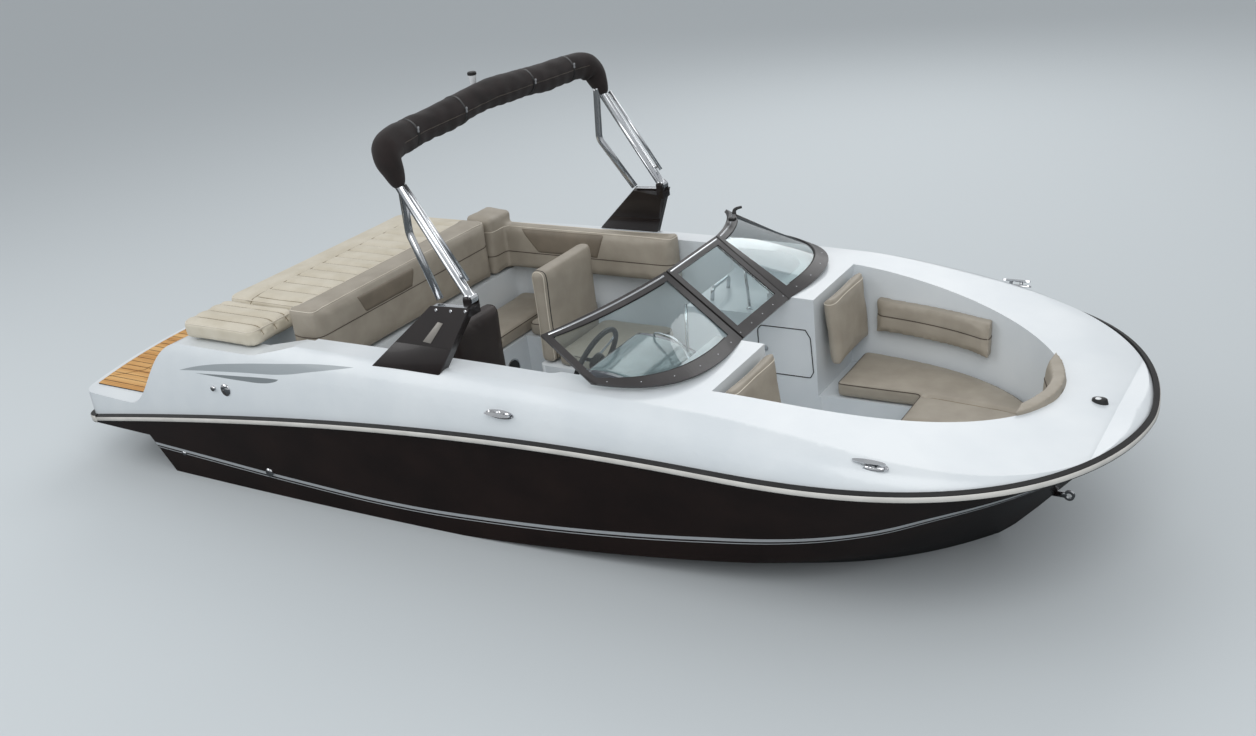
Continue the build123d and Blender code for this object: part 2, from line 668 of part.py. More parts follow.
# Dash: dark hood, steering wheel and throttle
with BuildPart() as helm_dash:
    with BuildSketch(side_view(HELM_Y)):
        with BuildLine():
            Polyline((DASH_AFT + 20, DASH_SHELF), (DASH_AFT + 20, DASH_SHELF + 70),
                     (DASH_AFT + 60, DASH_SHELF + 95))
            ThreePointArc((DASH_AFT + 60, DASH_SHELF + 95), (DASH_AFT + 260, DASH_SHELF + 80),
                          (DASH_FRONT - 60, DASH_SHELF))
            Line((DASH_FRONT - 60, DASH_SHELF), (DASH_AFT + 20, DASH_SHELF))
        make_face()
    extrude(amount=HOOD_HALF, both=True)
    fillet(helm_dash.edges().filter_by(Axis.Y).sort_by(Axis.Z)[-1:], 12)
    add(deck.part, mode=Mode.SUBTRACT)
helm_dash.part.label = "helm_dash"

wheel_axis = Vector(-cos(radians(WHEEL_TILT)), 0, sin(radians(WHEEL_TILT)))
wheel_plane = Plane(origin=at(WHEEL_X, HELM_Y, WHEEL_Z), x_dir=(0, 1, 0), z_dir=wheel_axis)
with BuildPart() as steering_wheel:
    with BuildSketch(Plane(origin=wheel_plane.origin + wheel_plane.x_dir * WHEEL_RADIUS,
                           x_dir=wheel_plane.x_dir, z_dir=wheel_plane.y_dir)):
        Circle(RIM_RADIUS)
    revolve(axis=Axis(wheel_plane.origin, wheel_plane.z_dir))
    with BuildSketch(wheel_plane.offset(-HUB_DEPTH)):
        Circle(HUB_RADIUS)
    extrude(amount=HUB_DEPTH + 10)
    with BuildSketch(wheel_plane.offset(-6)):
        for angle in SPOKE_ANGLES:
            with Locations(Location((0, 0, 0), (0, 0, angle))):
                with Locations((WHEEL_RADIUS / 2, 0)):
                    Rectangle(WHEEL_RADIUS - RIM_RADIUS / 2, SPOKE_WIDTH)
    extrude(amount=8)
steering_wheel.part.label = "steering_wheel"
with BuildPart() as steering_column:
    with BuildSketch(wheel_plane.offset(-HUB_DEPTH - RUNNING_GAP)):
        Circle(COLUMN_RADIUS)
    extrude(amount=-COLUMN_LENGTH)
    add(helm_dash.part, mode=Mode.SUBTRACT)
    add(deck.part, mode=Mode.SUBTRACT)
steering_column.part.label = "steering_column"
with BuildPart() as throttle:
    add(box_between((THROTTLE_X - 60, -COCKPIT_HALF + CLEAR, THROTTLE_Z - 70),
                    (THROTTLE_X + 60, -COCKPIT_HALF + 45, THROTTLE_Z + 50)))
    with BuildSketch(side_view(-COCKPIT_HALF + 45)):
        Polygon((THROTTLE_X - 14, THROTTLE_Z), (THROTTLE_X + 14, THROTTLE_Z),
                (THROTTLE_X + 34, THROTTLE_Z + 150), (THROTTLE_X + 8, THROTTLE_Z + 150),
                align=None)
    extrude(amount=-22)
    with BuildSketch(side_view(-COCKPIT_HALF + 67)):
        with Locations((THROTTLE_X + 21, THROTTLE_Z + 145)):
            Circle(20)
    extrude(amount=-75)
throttle.part.label = "throttle"

# Bow cushions and pads, cut from the well's own outline
def well_slice(low, high, inset, inside=None):
    """Slab of the bow well between two heights, set in from its wall."""
    with BuildPart() as slab:
        with BuildSketch(level(SEAT_BASE)):
            add(well_outline(-inset, WELL_TAPER))
        with BuildSketch(level(1400)):
            add(well_outline(-inset))
        loft(ruled=True)
        add(box_between((3000, -FAR / 2, low), (7000, FAR / 2, high)), mode=Mode.INTERSECT)
        if inside is not None:
            add(inside, mode=Mode.INTERSECT)
    return slab.part


with BuildPart() as bow_cushions:
    for side in (-1, 1):
        ends = sorted((side * (FOOTWELL_HALF + 0), side * 1200))
        add(well_slice(SEAT_BASE + CLEAR, SEAT_BASE + PAD, 15,
                       box_between((CONSOLE_FRONT + 90, ends[0], 700),
                                   (FOOTWELL_FRONT - 5, ends[1], 1000))))
    add(well_slice(SEAT_BASE + CLEAR, SEAT_BASE + PAD, 15,
                   box_between((FOOTWELL_FRONT, -1200, 700), (6000, 1200, 1000))))
bow_cushions.part.label = "bow_cushions"

with BuildPart() as bow_backrests:
    for side in (-1, 1):
        ends = sorted((side * (WALKWAY_HALF + 40), side * (WELL_HALF - 50)))
        add(leaned(pad((CONSOLE_FRONT + 20, ends[0], SEAT_BASE + PAD + 60),
                       (CONSOLE_FRONT + 80, ends[1], BOW_BACK_TOP), 25, 0),
                   (CONSOLE_FRONT + 10, 0, BOW_BACK_TOP), 6))
    add(fitted, mode=Mode.INTERSECT)
bow_backrests.part.label = "bow_backrests"

with BuildPart() as bow_bolsters:
    add(well_slice(BOLSTER_FOOT, BOLSTER_TOP, CLEAR))
    add(well_slice(BOLSTER_FOOT - 10, BOLSTER_TOP + 10, BOLSTER_DEPTH), mode=Mode.SUBTRACT)
    keep = [box_between((BOLSTER_AFT, side * 700 - 500, 800), (BOLSTER_FRONT, side * 700 + 500, 1300))
            for side in (-1, 1)]
    nose = box_between((NOSE_AFT, -600, 800), (6200, 600, 1300))
    add(keep[0] + keep[1] + nose, mode=Mode.INTERSECT)
bow_bolsters.part.label = "bow_bolsters"


# Windscreen: ruled glass between a curved base and a curved top edge
def blend_points(first, second, share):
    return [a * (1 - share) + b * share for a, b in zip(first, second)]


def stretch(points, start, end):
    """Control points of part of a curve."""
    def split_off(run, share):
        left, level_points = [run[0]], run
        while len(level_points) > 1:
            level_points = blend_points(level_points[:-1], level_points[1:], share)
            left.append(level_points[0])
        return left
    to_end = split_off(points, end)
    return list(reversed(split_off(list(reversed(to_end)), 1 - start / end)))


def slab(rows, depth):
    """Closed solid between a ruled sheet and its copy pushed back by depth."""
    first, last = rows
    front = [[p + depth * 0.5 for p in row] for row in rows]
    back = [[p - depth * 0.5 for p in row] for row in rows]
    faces = [Face.make_bezier_surface(front), Face.make_bezier_surface(back)]
    for a, b in ((front[0], back[0]), (front[1], back[1]),
                 ([front[0][0], front[1][0]], [back[0][0], back[1][0]]),
                 ([front[0][-1], front[1][-1]], [back[0][-1], back[1][-1]])):
        faces.append(Face.make_bezier_surface([a, b]))
    return Solid(Shell(faces))


def sheet_part(base, top, span, rise, depth):
    rows = [stretch(blend_points(base, top, share), *span) for share in rise]
    return slab(rows, depth)


def screen(base, top, depth, sides):
    """Frame and glass of one windscreen panel; sides are the posts' shares of its width."""
    foot, head = SCREEN_FOOT, 1 - SCREEN_HEAD
    with BuildPart() as frame:
        add(sheet_part(base, top, (0, 1), (0, foot), depth))
        add(sheet_part(base, top, (0, 1), (head, 1), depth))
        add(sheet_part(base, top, (0, sides[0]), (0, 1), depth))
        add(sheet_part(base, top, (1 - sides[1], 1), (0, 1), depth))
    gap = 0.002
    with BuildPart() as glass:
        add(sheet_part(base, top, (sides[0] + gap, 1 - sides[1] - gap), (foot + gap, head - gap),
                       depth * (GLASS / FRAME_DEPTH)))
    return frame.part, glass.part


screen_base = [at(3870, 1060, 1392), at(4280, 1030, 1375), at(4360, 750, 1365),
               at(4266, SCREEN_DOOR_HALF, 1341)]
screen_top = [at(3555, 979, 1565), at(3690, 800, 1600), at(3800, 500, 1635),
              at(3857, SCREEN_DOOR_HALF, 1661)]
screen_normal = Vector(0.616, 0, 0.787)
side_normal = Vector(0.5, 0.45, 0.75)
port_frame, port_glass = screen(screen_base, screen_top, side_normal * FRAME_DEPTH, (0.05, 0.05))
port_frame = port_frame - deck.part


def door_knuckle(share, toward):
    """Round hinge piece behind the screen, its leaf reaching to one side."""
    gap_y = SCREEN_DOOR_HALF - DOOR_GAP / 2
    low, high = at(4266, gap_y, 1341), at(3857, gap_y, 1661)
    middle = low + (high - low) * share - screen_normal * (FRAME_DEPTH / 2 + DOOR_KNUCKLE)
    seat = Plane(origin=middle, x_dir=(0, 1, 0), z_dir=high - low)
    with BuildPart() as knuckle:
        with BuildSketch(seat):
            Circle(DOOR_KNUCKLE)
            with Locations((0, DOOR_KNUCKLE - 1)):
                Rectangle(toward * 22, 4, align=(Align.MIN if toward > 0 else Align.MAX, Align.MAX))
        extrude(amount=DOOR_KNUCKLE_LENGTH / 2, both=True)
    return knuckle.part


with BuildPart() as screen_port:
    add(port_frame)
    add(door_knuckle(0.5, 1))
screen_port.part.label = "screen_frame_port"
with BuildPart() as glass_port:
    add(port_glass)
glass_port.part.label = "screen_glass_port"
with BuildPart() as screen_starboard:
    add(mirror(port_frame, about=Plane.XZ))
screen_starboard.part.label = "screen_frame_starboard"
with BuildPart() as glass_starboard:
    add(mirror(port_glass, about=Plane.XZ))
glass_starboard.part.label = "screen_glass_starboard"

door_half = SCREEN_DOOR_HALF - DOOR_GAP
door_base = [at(4266, door_half, 1341), at(4266, -door_half, 1341)]
door_top = [at(3857, door_half, 1661), at(3857, -door_half, 1661)]
door_frame, door_glass = screen(door_base, door_top, screen_normal * FRAME_DEPTH, (0.08, 0.08))
with BuildPart() as screen_door:
    add(door_frame)
    add(door_knuckle(0.3, -1))
    add(door_knuckle(0.7, -1))
screen_door.part.label = "screen_door_frame"
with BuildPart() as glass_door:
    add(door_glass)
glass_door.part.label = "screen_door_glass"

with BuildPart() as screen_stays:
    for side in (-1, 1):
        start = at(3990, side * 330, 1520)
        end = at(3990, side * 360, DASH_SHELF)
        run = end - start
        with BuildSketch(Plane(origin=start, z_dir=run)):
            Circle(STAY_RADIUS)
        extrude(amount=run.length)
    add(deck.part, mode=Mode.SUBTRACT)
    add(helm_dash.part, mode=Mode.SUBTRACT)
screen_stays.part.label = "screen_stays"

# Tower: two side frames and the arch over them, on dark base plates
with BuildPart() as tower_bases:
    lean = radians(BASE_LEAN)
    for side in (-1, 1):
        up = Vector(0, -side * sin(lean), cos(lean))
        with BuildSketch(Plane(origin=at(0, side * BASE_HALF, BASE_FOOT), x_dir=(1, 0, 0),
                               z_dir=Vector(1, 0, 0).cross(up))):
            Polygon(*[(x, (z - BASE_FOOT) / cos(lean)) for x, z in BASE_CORNERS], align=None)
        extrude(amount=BASE_THICKNESS / 2, both=True)
        reach = EYE_HALF + CHEEK_GAP + CHEEK
        ends = sorted((side * (LEG_HALF - reach), side * (LEG_HALF + reach + 10)))
        add(box_between((TOWER_FOOT - CHEEK_RADIUS, ends[0], TOWER_PIVOT - TOWER_EYE - 50),
                        (TOWER_FOOT + CHEEK_RADIUS, ends[1], TOWER_PIVOT - TOWER_EYE - 5)))
        for offset in (-reach, EYE_HALF + CHEEK_GAP):
            with BuildSketch(side_view(side * LEG_HALF + offset)):
                with Locations((TOWER_FOOT, TOWER_PIVOT)):
                    Circle(CHEEK_RADIUS)
                    Rectangle(2 * CHEEK_RADIUS, TOWER_EYE + 10, align=(Align.CENTER, Align.MAX))
            extrude(amount=-CHEEK)
        with BuildSketch(side_view(side * LEG_HALF)):
            with Locations((TOWER_FOOT, TOWER_PIVOT)):
                Circle(TOWER_PIN)
        extrude(amount=reach, both=True)
    add(deck.part, mode=Mode.SUBTRACT)
tower_bases.part.label = "tower_bases"

def across(points):
    return points[:-1] + list(reversed(mirrored(points)))


arch_bends = (LEG_BEND, ARCH_BEND, CROWN_BEND, ARCH_BEND, LEG_BEND)
path_points = across([at(TOWER_FOOT, LEG_HALF, TOWER_PIVOT), at(2705, 945, 2425),
                      at(LIGHT_X, 600, 2435), at(LIGHT_X, 0, 2480)])
cover_path = across([at(2812, 953, 2262), at(2735, 945, 2440), at(2700, 500, 2462),
                     at(2694, 0, 2490)])
with BuildPart() as tower_frame:
    with BuildLine():
        arch = FilletPolyline(*path_points, radius=arch_bends)
    with BuildSketch(Plane(origin=arch @ 0, z_dir=arch % 0)):
        Circle(TUBE_RADIUS)
    sweep()
    for side in (-1, 1):
        strut = [at(2952, side * LEG_HALF, 1686), at(2773, side * 905, 1995),
                 at(2788, side * 915, 2300)]
        with BuildLine():
            line = FilletPolyline(*strut, radius=STRUT_BEND)
        with BuildSketch(Plane(origin=line @ 0, z_dir=line % 0)):
            Circle(STRUT_RADIUS)
        sweep(path=line)
        rod_foot, rod_head = at(3150, side * LEG_HALF, 1803), at(2850, side * 960, 2270)
        for start, end in ((rod_foot, rod_head),
                           (at(3079, side * LEG_HALF, 1820), at(3139, side * LEG_HALF, 1820))):
            with BuildSketch(Plane(origin=start, z_dir=end - start)):
                Circle(ROD_RADIUS)
            extrude(amount=(end - start).length)
        with BuildSketch(side_view(side * LEG_HALF)):
            with Locations((TOWER_FOOT, TOWER_PIVOT)):
                Circle(TOWER_EYE)
        extrude(amount=EYE_HALF, both=True)
        with BuildSketch(side_view(side * LEG_HALF)):
            with Locations((TOWER_FOOT, TOWER_PIVOT)):
                Circle(TOWER_PIN + PIN_FIT)
        extrude(amount=80, both=True, mode=Mode.SUBTRACT)
tower_frame.part.label = "tower_frame"

with BuildPart() as tower_light:
    with BuildSketch(Plane(origin=at(LIGHT_X, 0, LIGHT_FOOT))):
        Circle(9)
    extrude(amount=-50)
    with BuildSketch(Plane(origin=at(LIGHT_X, 0, LIGHT_FOOT))):
        Circle(LIGHT_RADIUS - 8)
    with BuildSketch(Plane(origin=at(LIGHT_X, 0, LIGHT_TOP - 18))):
        Circle(LIGHT_RADIUS)
    loft()
    with BuildSketch(Plane(origin=at(LIGHT_X, 0, LIGHT_TOP - 18))):
        Circle(LIGHT_RADIUS + 3)
    extrude(amount=18)
tower_light.part.label = "tower_light"

# Folded sun top in its cover, round the arch
with BuildPart() as top_cover:
    with BuildLine():
        roll = FilletPolyline(*cover_path, radius=arch_bends)
    with BuildSketch(Plane(origin=roll @ 0, z_dir=roll % 0)):
        Circle(COVER_RADIUS)
    sweep()
top_cover.part.label = "top_cover"


# Stern drive: plate on the transom, steering ring, drive leg and propeller
transom_face = Plane(origin=at(TRANSOM + 64, 0, TRIM_Z), x_dir=(0, 1, 0),
                     z_dir=(-cos(radians(TRANSOM_RAKE)), 0, -sin(radians(TRANSOM_RAKE))))
ring_top, ring_foot = TRIM_Z + RING_HEIGHT, TRIM_Z - RING_HEIGHT
with BuildPart() as transom_plate:
    with BuildSketch(transom_face):
        RectangleRounded(420, 470, 90)
    extrude(amount=30)
    for low, high in ((ring_top + RUNNING_GAP, ring_top + 45),
                      (ring_foot - 45, ring_foot - RUNNING_GAP)):
        add(box_between((STEER_X - 28, -45, low), (TRANSOM + 160, 45, high)))
    with BuildSketch(level(0)):
        with Locations((STEER_X, 0)):
            Circle(PIN_RADIUS + PIN_FIT)
    extrude(amount=700, mode=Mode.SUBTRACT)
    add(hull.part, mode=Mode.SUBTRACT)
transom_plate.part.label = "transom_plate"

with BuildPart() as steering_ring:
    with BuildSketch(Plane(origin=at(STEER_X - RING_DEPTH / 2, 0, TRIM_Z), x_dir=(0, 1, 0),
                           z_dir=(1, 0, 0))):
        RectangleRounded(2 * RING_OUTER, 2 * RING_HEIGHT, 60)
        RectangleRounded(2 * RING_INNER, 2 * (RING_HEIGHT - RING_BAR), 45, mode=Mode.SUBTRACT)
    extrude(amount=RING_DEPTH)
    with BuildSketch(level(ring_foot - 45)):
        with Locations((STEER_X, 0)):
            Circle(PIN_RADIUS)
    extrude(amount=45 + RING_BAR / 2)
    with BuildSketch(level(ring_top - RING_BAR / 2)):
        with Locations((STEER_X, 0)):
            Circle(PIN_RADIUS)
    extrude(amount=45 + RING_BAR / 2)
    with BuildSketch(side_view()):
        with Locations((STEER_X, TRIM_Z)):
            Circle(PIN_RADIUS + PIN_FIT)
    extrude(amount=400, both=True, mode=Mode.SUBTRACT)
steering_ring.part.label = "steering_ring"

with BuildPart() as drive_leg:
    with BuildSketch(side_view()):
        with Locations((STEER_X, TRIM_Z)):
            Circle(BELL_RADIUS)
    extrude(amount=BELL_HALF, both=True)
    with BuildSketch(side_view()):
        with Locations((STEER_X, TRIM_Z)):
            Circle(PIN_RADIUS)
    extrude(amount=RING_OUTER, both=True)
    with BuildSketch(side_view()):
        with BuildLine():
            Polyline((STEER_X, TRIM_Z + 55), (270, TRIM_Z + 60), (255, TRIM_Z + 105),
                     (110, TRIM_Z + 90))
            ThreePointArc((110, TRIM_Z + 90), (55, TRIM_Z), (70, 40))
            Polyline((70, 40), (270, 40), (270, TRIM_Z - 60), (STEER_X, TRIM_Z - 55),
                     (STEER_X, TRIM_Z + 55))
        make_face()
    extrude(amount=CASE_HALF, both=True)
    with BuildSketch(level(20)):
        with BuildLine():
            Polyline((-90, 70), (-90, -70), (120, -110), (330, -60))
            ThreePointArc((330, -60), (352, 0), (330, 60))
            Polyline((330, 60), (120, 110), (-90, 70))
        make_face()
    extrude(amount=14)
    with BuildSketch(level(PROP_Z)):
        with Locations((205, 0)):
            Ellipse(105, 30)
    extrude(amount=300)
    with BuildSketch(side_view()):
        with BuildLine():
            Line((-10, PROP_Z), (-10, PROP_Z + 50))
            Line((-10, PROP_Z + 50), (230, PROP_Z + 55))
            ThreePointArc((230, PROP_Z + 55), (335, PROP_Z + 32), (372, PROP_Z))
            Line((372, PROP_Z), (-10, PROP_Z))
        make_face()
    revolve(axis=Axis(at(0, 0, PROP_Z), (1, 0, 0)))
    with BuildSketch(side_view()):
        Polygon((120, PROP_Z), (300, PROP_Z), (250, PROP_Z - 110), (190, PROP_Z - 175),
                (130, PROP_Z - 175), align=None)
    extrude(amount=6, both=True)
drive_leg.part.label = "drive_leg"

with BuildPart() as propeller:
    with BuildSketch(station(PROP_AFT)):
        with Locations((0, PROP_Z)):
            Circle(PROP_HUB)
    extrude(amount=PROP_FORE - PROP_AFT)
    for blade in range(BLADES):
        sections = []
        for radius, chord, pitch in BLADE_ROWS:
            frame = Plane(origin=(0, 0, radius), x_dir=(cos(radians(pitch)), sin(radians(pitch)), 0),
                          z_dir=(0, 0, 1))
            with BuildSketch(frame) as section:
                Ellipse(chord / 2, BLADE_THICKNESS / 2 * (1.2 - radius / 400))
            sections.append(section.sketch)
        with BuildPart(mode=Mode.PRIVATE) as one:
            loft(sections)
        middle = at((PROP_AFT + PROP_FORE) / 2, 0, PROP_Z)
        add(one.part.rotate(Axis.X, 360 / BLADES * blade).translate(middle))
propeller.part.label = "propeller"

# Fittings
with BuildPart() as cleats:
    for x, y, z, lift in CLEAT_ROWS:
        for side in (-1, 1):
            out = Vector(0, side * cos(radians(lift)), sin(radians(lift)))
            seat = Plane(origin=at(x, side * y, z), x_dir=(1, 0, 0), z_dir=out)
            with BuildSketch(seat.offset(-4)):
                Ellipse(CLEAT_LENGTH / 2, 22)
            extrude(amount=9)
            with BuildSketch(seat):
                with Locations((-28, 0), (28, 0)):
                    Circle(9)
            extrude(amount=24)
            with BuildSketch(seat.offset(20)):
                Ellipse(CLEAT_LENGTH / 2 - 8, 11)
            extrude(amount=12)
    add(deck.part, mode=Mode.SUBTRACT)
cleats.part.label = "cleats"

with BuildPart() as bow_light:
    with BuildSketch(level(BOW_LIGHT_Z)):
        with Locations((BOW_LIGHT_X, 0)):
            Ellipse(42, 30)
    extrude(amount=34, taper=14)
    add(deck.part, mode=Mode.SUBTRACT)
bow_light.part.label = "bow_light"

with BuildPart() as bow_eye:
    with BuildSketch(side_view()):
        with Locations((EYE_X, EYE_Z)):
            Circle(EYE_OUTER)
            Rectangle(120, 2 * 13, align=(Align.MAX, Align.CENTER))
            Circle(EYE_RADIUS, mode=Mode.SUBTRACT)
    extrude(amount=EYE_WIDTH / 2, both=True)
    add(hull.part, mode=Mode.SUBTRACT)
bow_eye.part.label = "bow_eye"

with BuildPart() as side_fittings:
    for x, y, z, radius, proud, skin in FITTING_ROWS:
        with BuildPart(mode=Mode.PRIVATE) as fitting:
            with BuildSketch(side_view(y + 25)):
                with Locations((x, z)):
                    Circle(radius)
            extrude(amount=25 + proud)
        add(fitting.part - (hull.part if skin == "hull" else deck.part))
side_fittings.part.label = "side_fittings"

with BuildPart() as grab_handle:
    with BuildLine():
        hold = FilletPolyline(at(3725, 620, DASH_SHELF), at(3735, 620, 1300), at(3735, 420, 1300),
                              at(3725, 420, DASH_SHELF), radius=25)
    with BuildSketch(Plane(origin=hold @ 0, z_dir=hold % 0)):
        Circle(11)
    sweep()
    add(deck.part, mode=Mode.SUBTRACT)
grab_handle.part.label = "grab_handle"

pieces = (hull, deck, rub_rail, platform_pads, engine_block, engine_hatch, sunpad_cushion,
          sunpad_filler, aft_backrest, seat_bases, bench_cushion, lounge_cushion, port_backrest,
          companion_cushion, companion_back, helm_pedestal, helm_cushion, helm_back, helm_dash,
          steering_wheel, steering_column, throttle, bow_cushions, bow_backrests, bow_bolsters,
          screen_port, glass_port, screen_starboard, glass_starboard, screen_door, glass_door,
          screen_stays, tower_bases, tower_frame, tower_light, top_cover, transom_plate,
          steering_ring, drive_leg, propeller, cleats, bow_light, bow_eye, side_fittings,
          grab_handle)
os.makedirs("parts", exist_ok=True)
for piece in pieces:
    export_step(piece.part, f"parts/{piece.part.label}.step")
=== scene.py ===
"""Looks of the open-bow speedboat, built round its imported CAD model.

Lengths in the tables below are in millimetres, measured as the boat is drawn: forward from the
swim platform, to port of the centreline, and up from the base line. place() turns them into the
row frame's metres.
"""

from __future__ import annotations

import json
import logging
import math
from dataclasses import dataclass
from enum import Enum
from typing import Callable, Iterable, Sequence

import bmesh
import bpy
import numpy as np
from mathutils import Matrix, Vector, kdtree, noise
from mathutils.bvhtree import BVHTree


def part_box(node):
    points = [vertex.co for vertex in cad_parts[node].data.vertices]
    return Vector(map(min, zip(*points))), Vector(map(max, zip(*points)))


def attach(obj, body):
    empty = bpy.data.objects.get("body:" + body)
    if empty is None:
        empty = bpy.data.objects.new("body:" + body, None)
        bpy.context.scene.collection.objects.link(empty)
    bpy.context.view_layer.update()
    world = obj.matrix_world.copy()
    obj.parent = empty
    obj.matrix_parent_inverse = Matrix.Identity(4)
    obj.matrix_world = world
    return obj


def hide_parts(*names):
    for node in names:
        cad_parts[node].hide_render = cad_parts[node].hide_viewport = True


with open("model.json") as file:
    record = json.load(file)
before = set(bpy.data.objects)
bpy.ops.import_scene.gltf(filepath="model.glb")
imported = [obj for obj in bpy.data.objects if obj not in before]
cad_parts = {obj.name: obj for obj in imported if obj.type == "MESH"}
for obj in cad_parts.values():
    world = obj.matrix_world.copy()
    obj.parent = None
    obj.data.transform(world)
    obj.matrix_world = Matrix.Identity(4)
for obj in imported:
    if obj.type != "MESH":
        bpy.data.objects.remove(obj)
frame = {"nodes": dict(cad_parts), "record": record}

LOG = logging.getLogger("speedboat")
MM = 0.001
ORIGIN_FROM_AFT, WATERLINE = 3100.0, 320.0  # drawn place of the row frame's origin
DRAWN_LENGTH, CURVE_TOP = 6300.0, 1400.0  # drawn span and height of the stripes' curves
DOUBLES = 2e-5  # metres between points that the CAD mesh repeats
RAY_BACK, RAY_REACH = 0.4, 0.9  # metres a ray starts before a surface, and goes
SEWN_STEP, CUT_STEP, SEAM_STEP = 0.012, 0.016, 0.01  # metres between points of such lines

# A groove reaches GROOVE_REACH widths to each side and fades by GROOVE_FALL. The stuffing runs
# CLOTH_FRAMES frames, and a cover stays REST_GAP metres above the seat it lies on.
GROOVE_REACH, GROOVE_FALL = 2.5, 1.6
CLOTH_FRAMES, QUICK_FILL, REST_GAP = 20, 0.6, 0.0005

# Hull and deck have slivers where their faces meet: they are merged below MERGE and THINNEST,
# and a face narrower than SLIVER takes no part in its neighbours' shading
LARGE = ("hull", "deck")
MERGE, THINNEST, SLIVER = 2.5, 2.0, 1.5

Point = tuple[float, float, float]
Path = list[Vector]
Section = Sequence[tuple[float, float]]
Shape = bmesh.types.BMesh
Piece = bpy.types.Object
Socket = bpy.types.NodeSocket
UP, DOWN, PORT = Vector((0, 0, 1)), Vector((0, 0, -1)), Vector((0, 1, 0))


def place(x: float, y: float, z: float) -> Vector:
    """A point of the drawn boat, in the row frame's metres."""
    return Vector(((x - ORIGIN_FROM_AFT) * MM, y * MM, (z - WATERLINE) * MM))


def placed(points: Iterable[Point]) -> Path:
    """Several drawn points, in the row frame."""
    return [place(*point) for point in points]


def linear(code: str) -> tuple[float, float, float, float]:
    """A hex sRGB colour as scene-linear values."""
    parts = [int(code[i:i + 2], 16) / 255 for i in (1, 3, 5)]
    return (*[c / 12.92 if c <= 0.04045 else ((c + 0.055) / 1.055) ** 2.4 for c in parts], 1.0)


# --------------------------------------------------------------------------- node trees


class Tree:
    """A node tree, filled node by node."""

    def __init__(self, tree: bpy.types.NodeTree) -> None:
        """Takes a tree over and empties it."""
        self.tree = tree
        tree.nodes.clear()

    def feed(self, socket: Socket, value: object) -> None:
        """Links a socket to another or sets it; a hex colour becomes scene-linear."""
        if isinstance(value, Socket):
            self.tree.links.new(value, socket)
        else:
            socket.default_value = linear(value) if isinstance(value, str) else value

    def add(self, kind: str, inputs: dict | None = None, **settings: object) -> bpy.types.Node:
        """Adds a node.

        Args:
            kind: Node type.
            inputs: Socket name or number to a value, or to a socket to link from.
            **settings: Node attributes.

        Returns:
            The new node.
        """
        node = self.tree.nodes.new(kind)
        for key, value in settings.items():
            setattr(node, key, value)
        for key, value in (inputs or {}).items():
            self.feed(node.inputs[key], value)
        return node


class Graph(Tree):
    """One material's node tree with its Principled shader."""

    def __init__(self, name: str) -> None:
        """Starts an empty material of that name."""
        self.material = bpy.data.materials.new(name)
        self.material.use_nodes = True
        super().__init__(self.material.node_tree)
        self.shader = self.add("ShaderNodeBsdfPrincipled")
        self.add("ShaderNodeOutputMaterial", {"Surface": self.shader.outputs["BSDF"]})
        self.place = self.add("ShaderNodeTexCoord").outputs["Object"]

    def set(self, **inputs: object) -> None:
        """Sets or links the shader's sockets, with _ in a name for a space."""
        for key, value in inputs.items():
            self.feed(self.shader.inputs[key.replace("_", " ")], value)

    def math(self, operation: str, *values: object) -> Socket:
        """Result of a Math node."""
        return self.add("ShaderNodeMath", dict(enumerate(values)), operation=operation).outputs[0]

    def noise(self, size: float, stretch: Point = (1, 1, 1), detail: float = 3) -> Socket:
        """Noise whose features are size mm, stretched along each axis."""
        scale = tuple(1 / (size * MM * s) for s in stretch)
        spread = self.add("ShaderNodeMapping", {"Vector": self.place, "Scale": scale}).outputs[0]
        return self.add("ShaderNodeTexNoise",
                        {"Vector": spread, "Scale": 1.0, "Detail": detail}).outputs[0]

    def cells(self, scale: float) -> Socket:
        """Pebbled cells, scale of them to the metre."""
        return self.add("ShaderNodeTexVoronoi", {"Vector": self.place, "Scale": scale}).outputs[0]

    def ranged(self, value: object, low: float, high: float,
               out: tuple[float, float] = (0, 1)) -> Socket:
        """Value mapped from low..high to out."""
        inputs = {0: value, 1: low, 2: high, 3: out[0], 4: out[1]}
        return self.add("ShaderNodeMapRange", inputs).outputs[0]

    def mix(self, share: object, first: object, second: object) -> Socket:
        """Colour between two colours."""
        return self.add("ShaderNodeMix", {0: share, 6: first, 7: second},
                        data_type="RGBA").outputs[2]

    def drift(self, size: float, colour: str, shade: str) -> Socket:
        """Colour that drifts to its shade and back over size mm."""
        return self.mix(self.ranged(self.noise(size), 0.35, 0.65), colour, shade)

    def bump(self, height: Socket, depth: float, strength: float) -> None:
        """Gives the surface a relief depth mm deep."""
        relief = {"Height": height, "Distance": depth * MM, "Strength": strength}
        self.set(Normal=self.add("ShaderNodeBump", relief).outputs[0])

    def curve(self, share: Socket, rows: Section) -> Socket:
        """Height in metres over a share of the length, from (drawn place, drawn height) rows.

        The first two rows are the curve's ends.
        """
        node = self.add("ShaderNodeFloatCurve", {1: share})
        points = node.mapping.curves[0].points
        for index, (x, z) in enumerate(rows):
            at = (x / DRAWN_LENGTH, z / CURVE_TOP)
            if index < 2:
                points[0 if index == 0 else len(points) - 1].location = at
            else:
                points.new(*at)
        node.mapping.update()
        return self.ranged(node.outputs[0], 0, 1,
                           (-WATERLINE * MM, (CURVE_TOP - WATERLINE) * MM))

    def along(self) -> tuple[Socket, ...]:
        """Share of the length, half breadth and height of the shaded point."""
        split = self.add("ShaderNodeSeparateXYZ", {0: self.place}).outputs
        ends = (-ORIGIN_FROM_AFT * MM, (DRAWN_LENGTH - ORIGIN_FROM_AFT) * MM)
        return self.ranged(split[0], *ends), self.math("ABSOLUTE", split[1]), split[2]


# --------------------------------------------------------------------------- materials


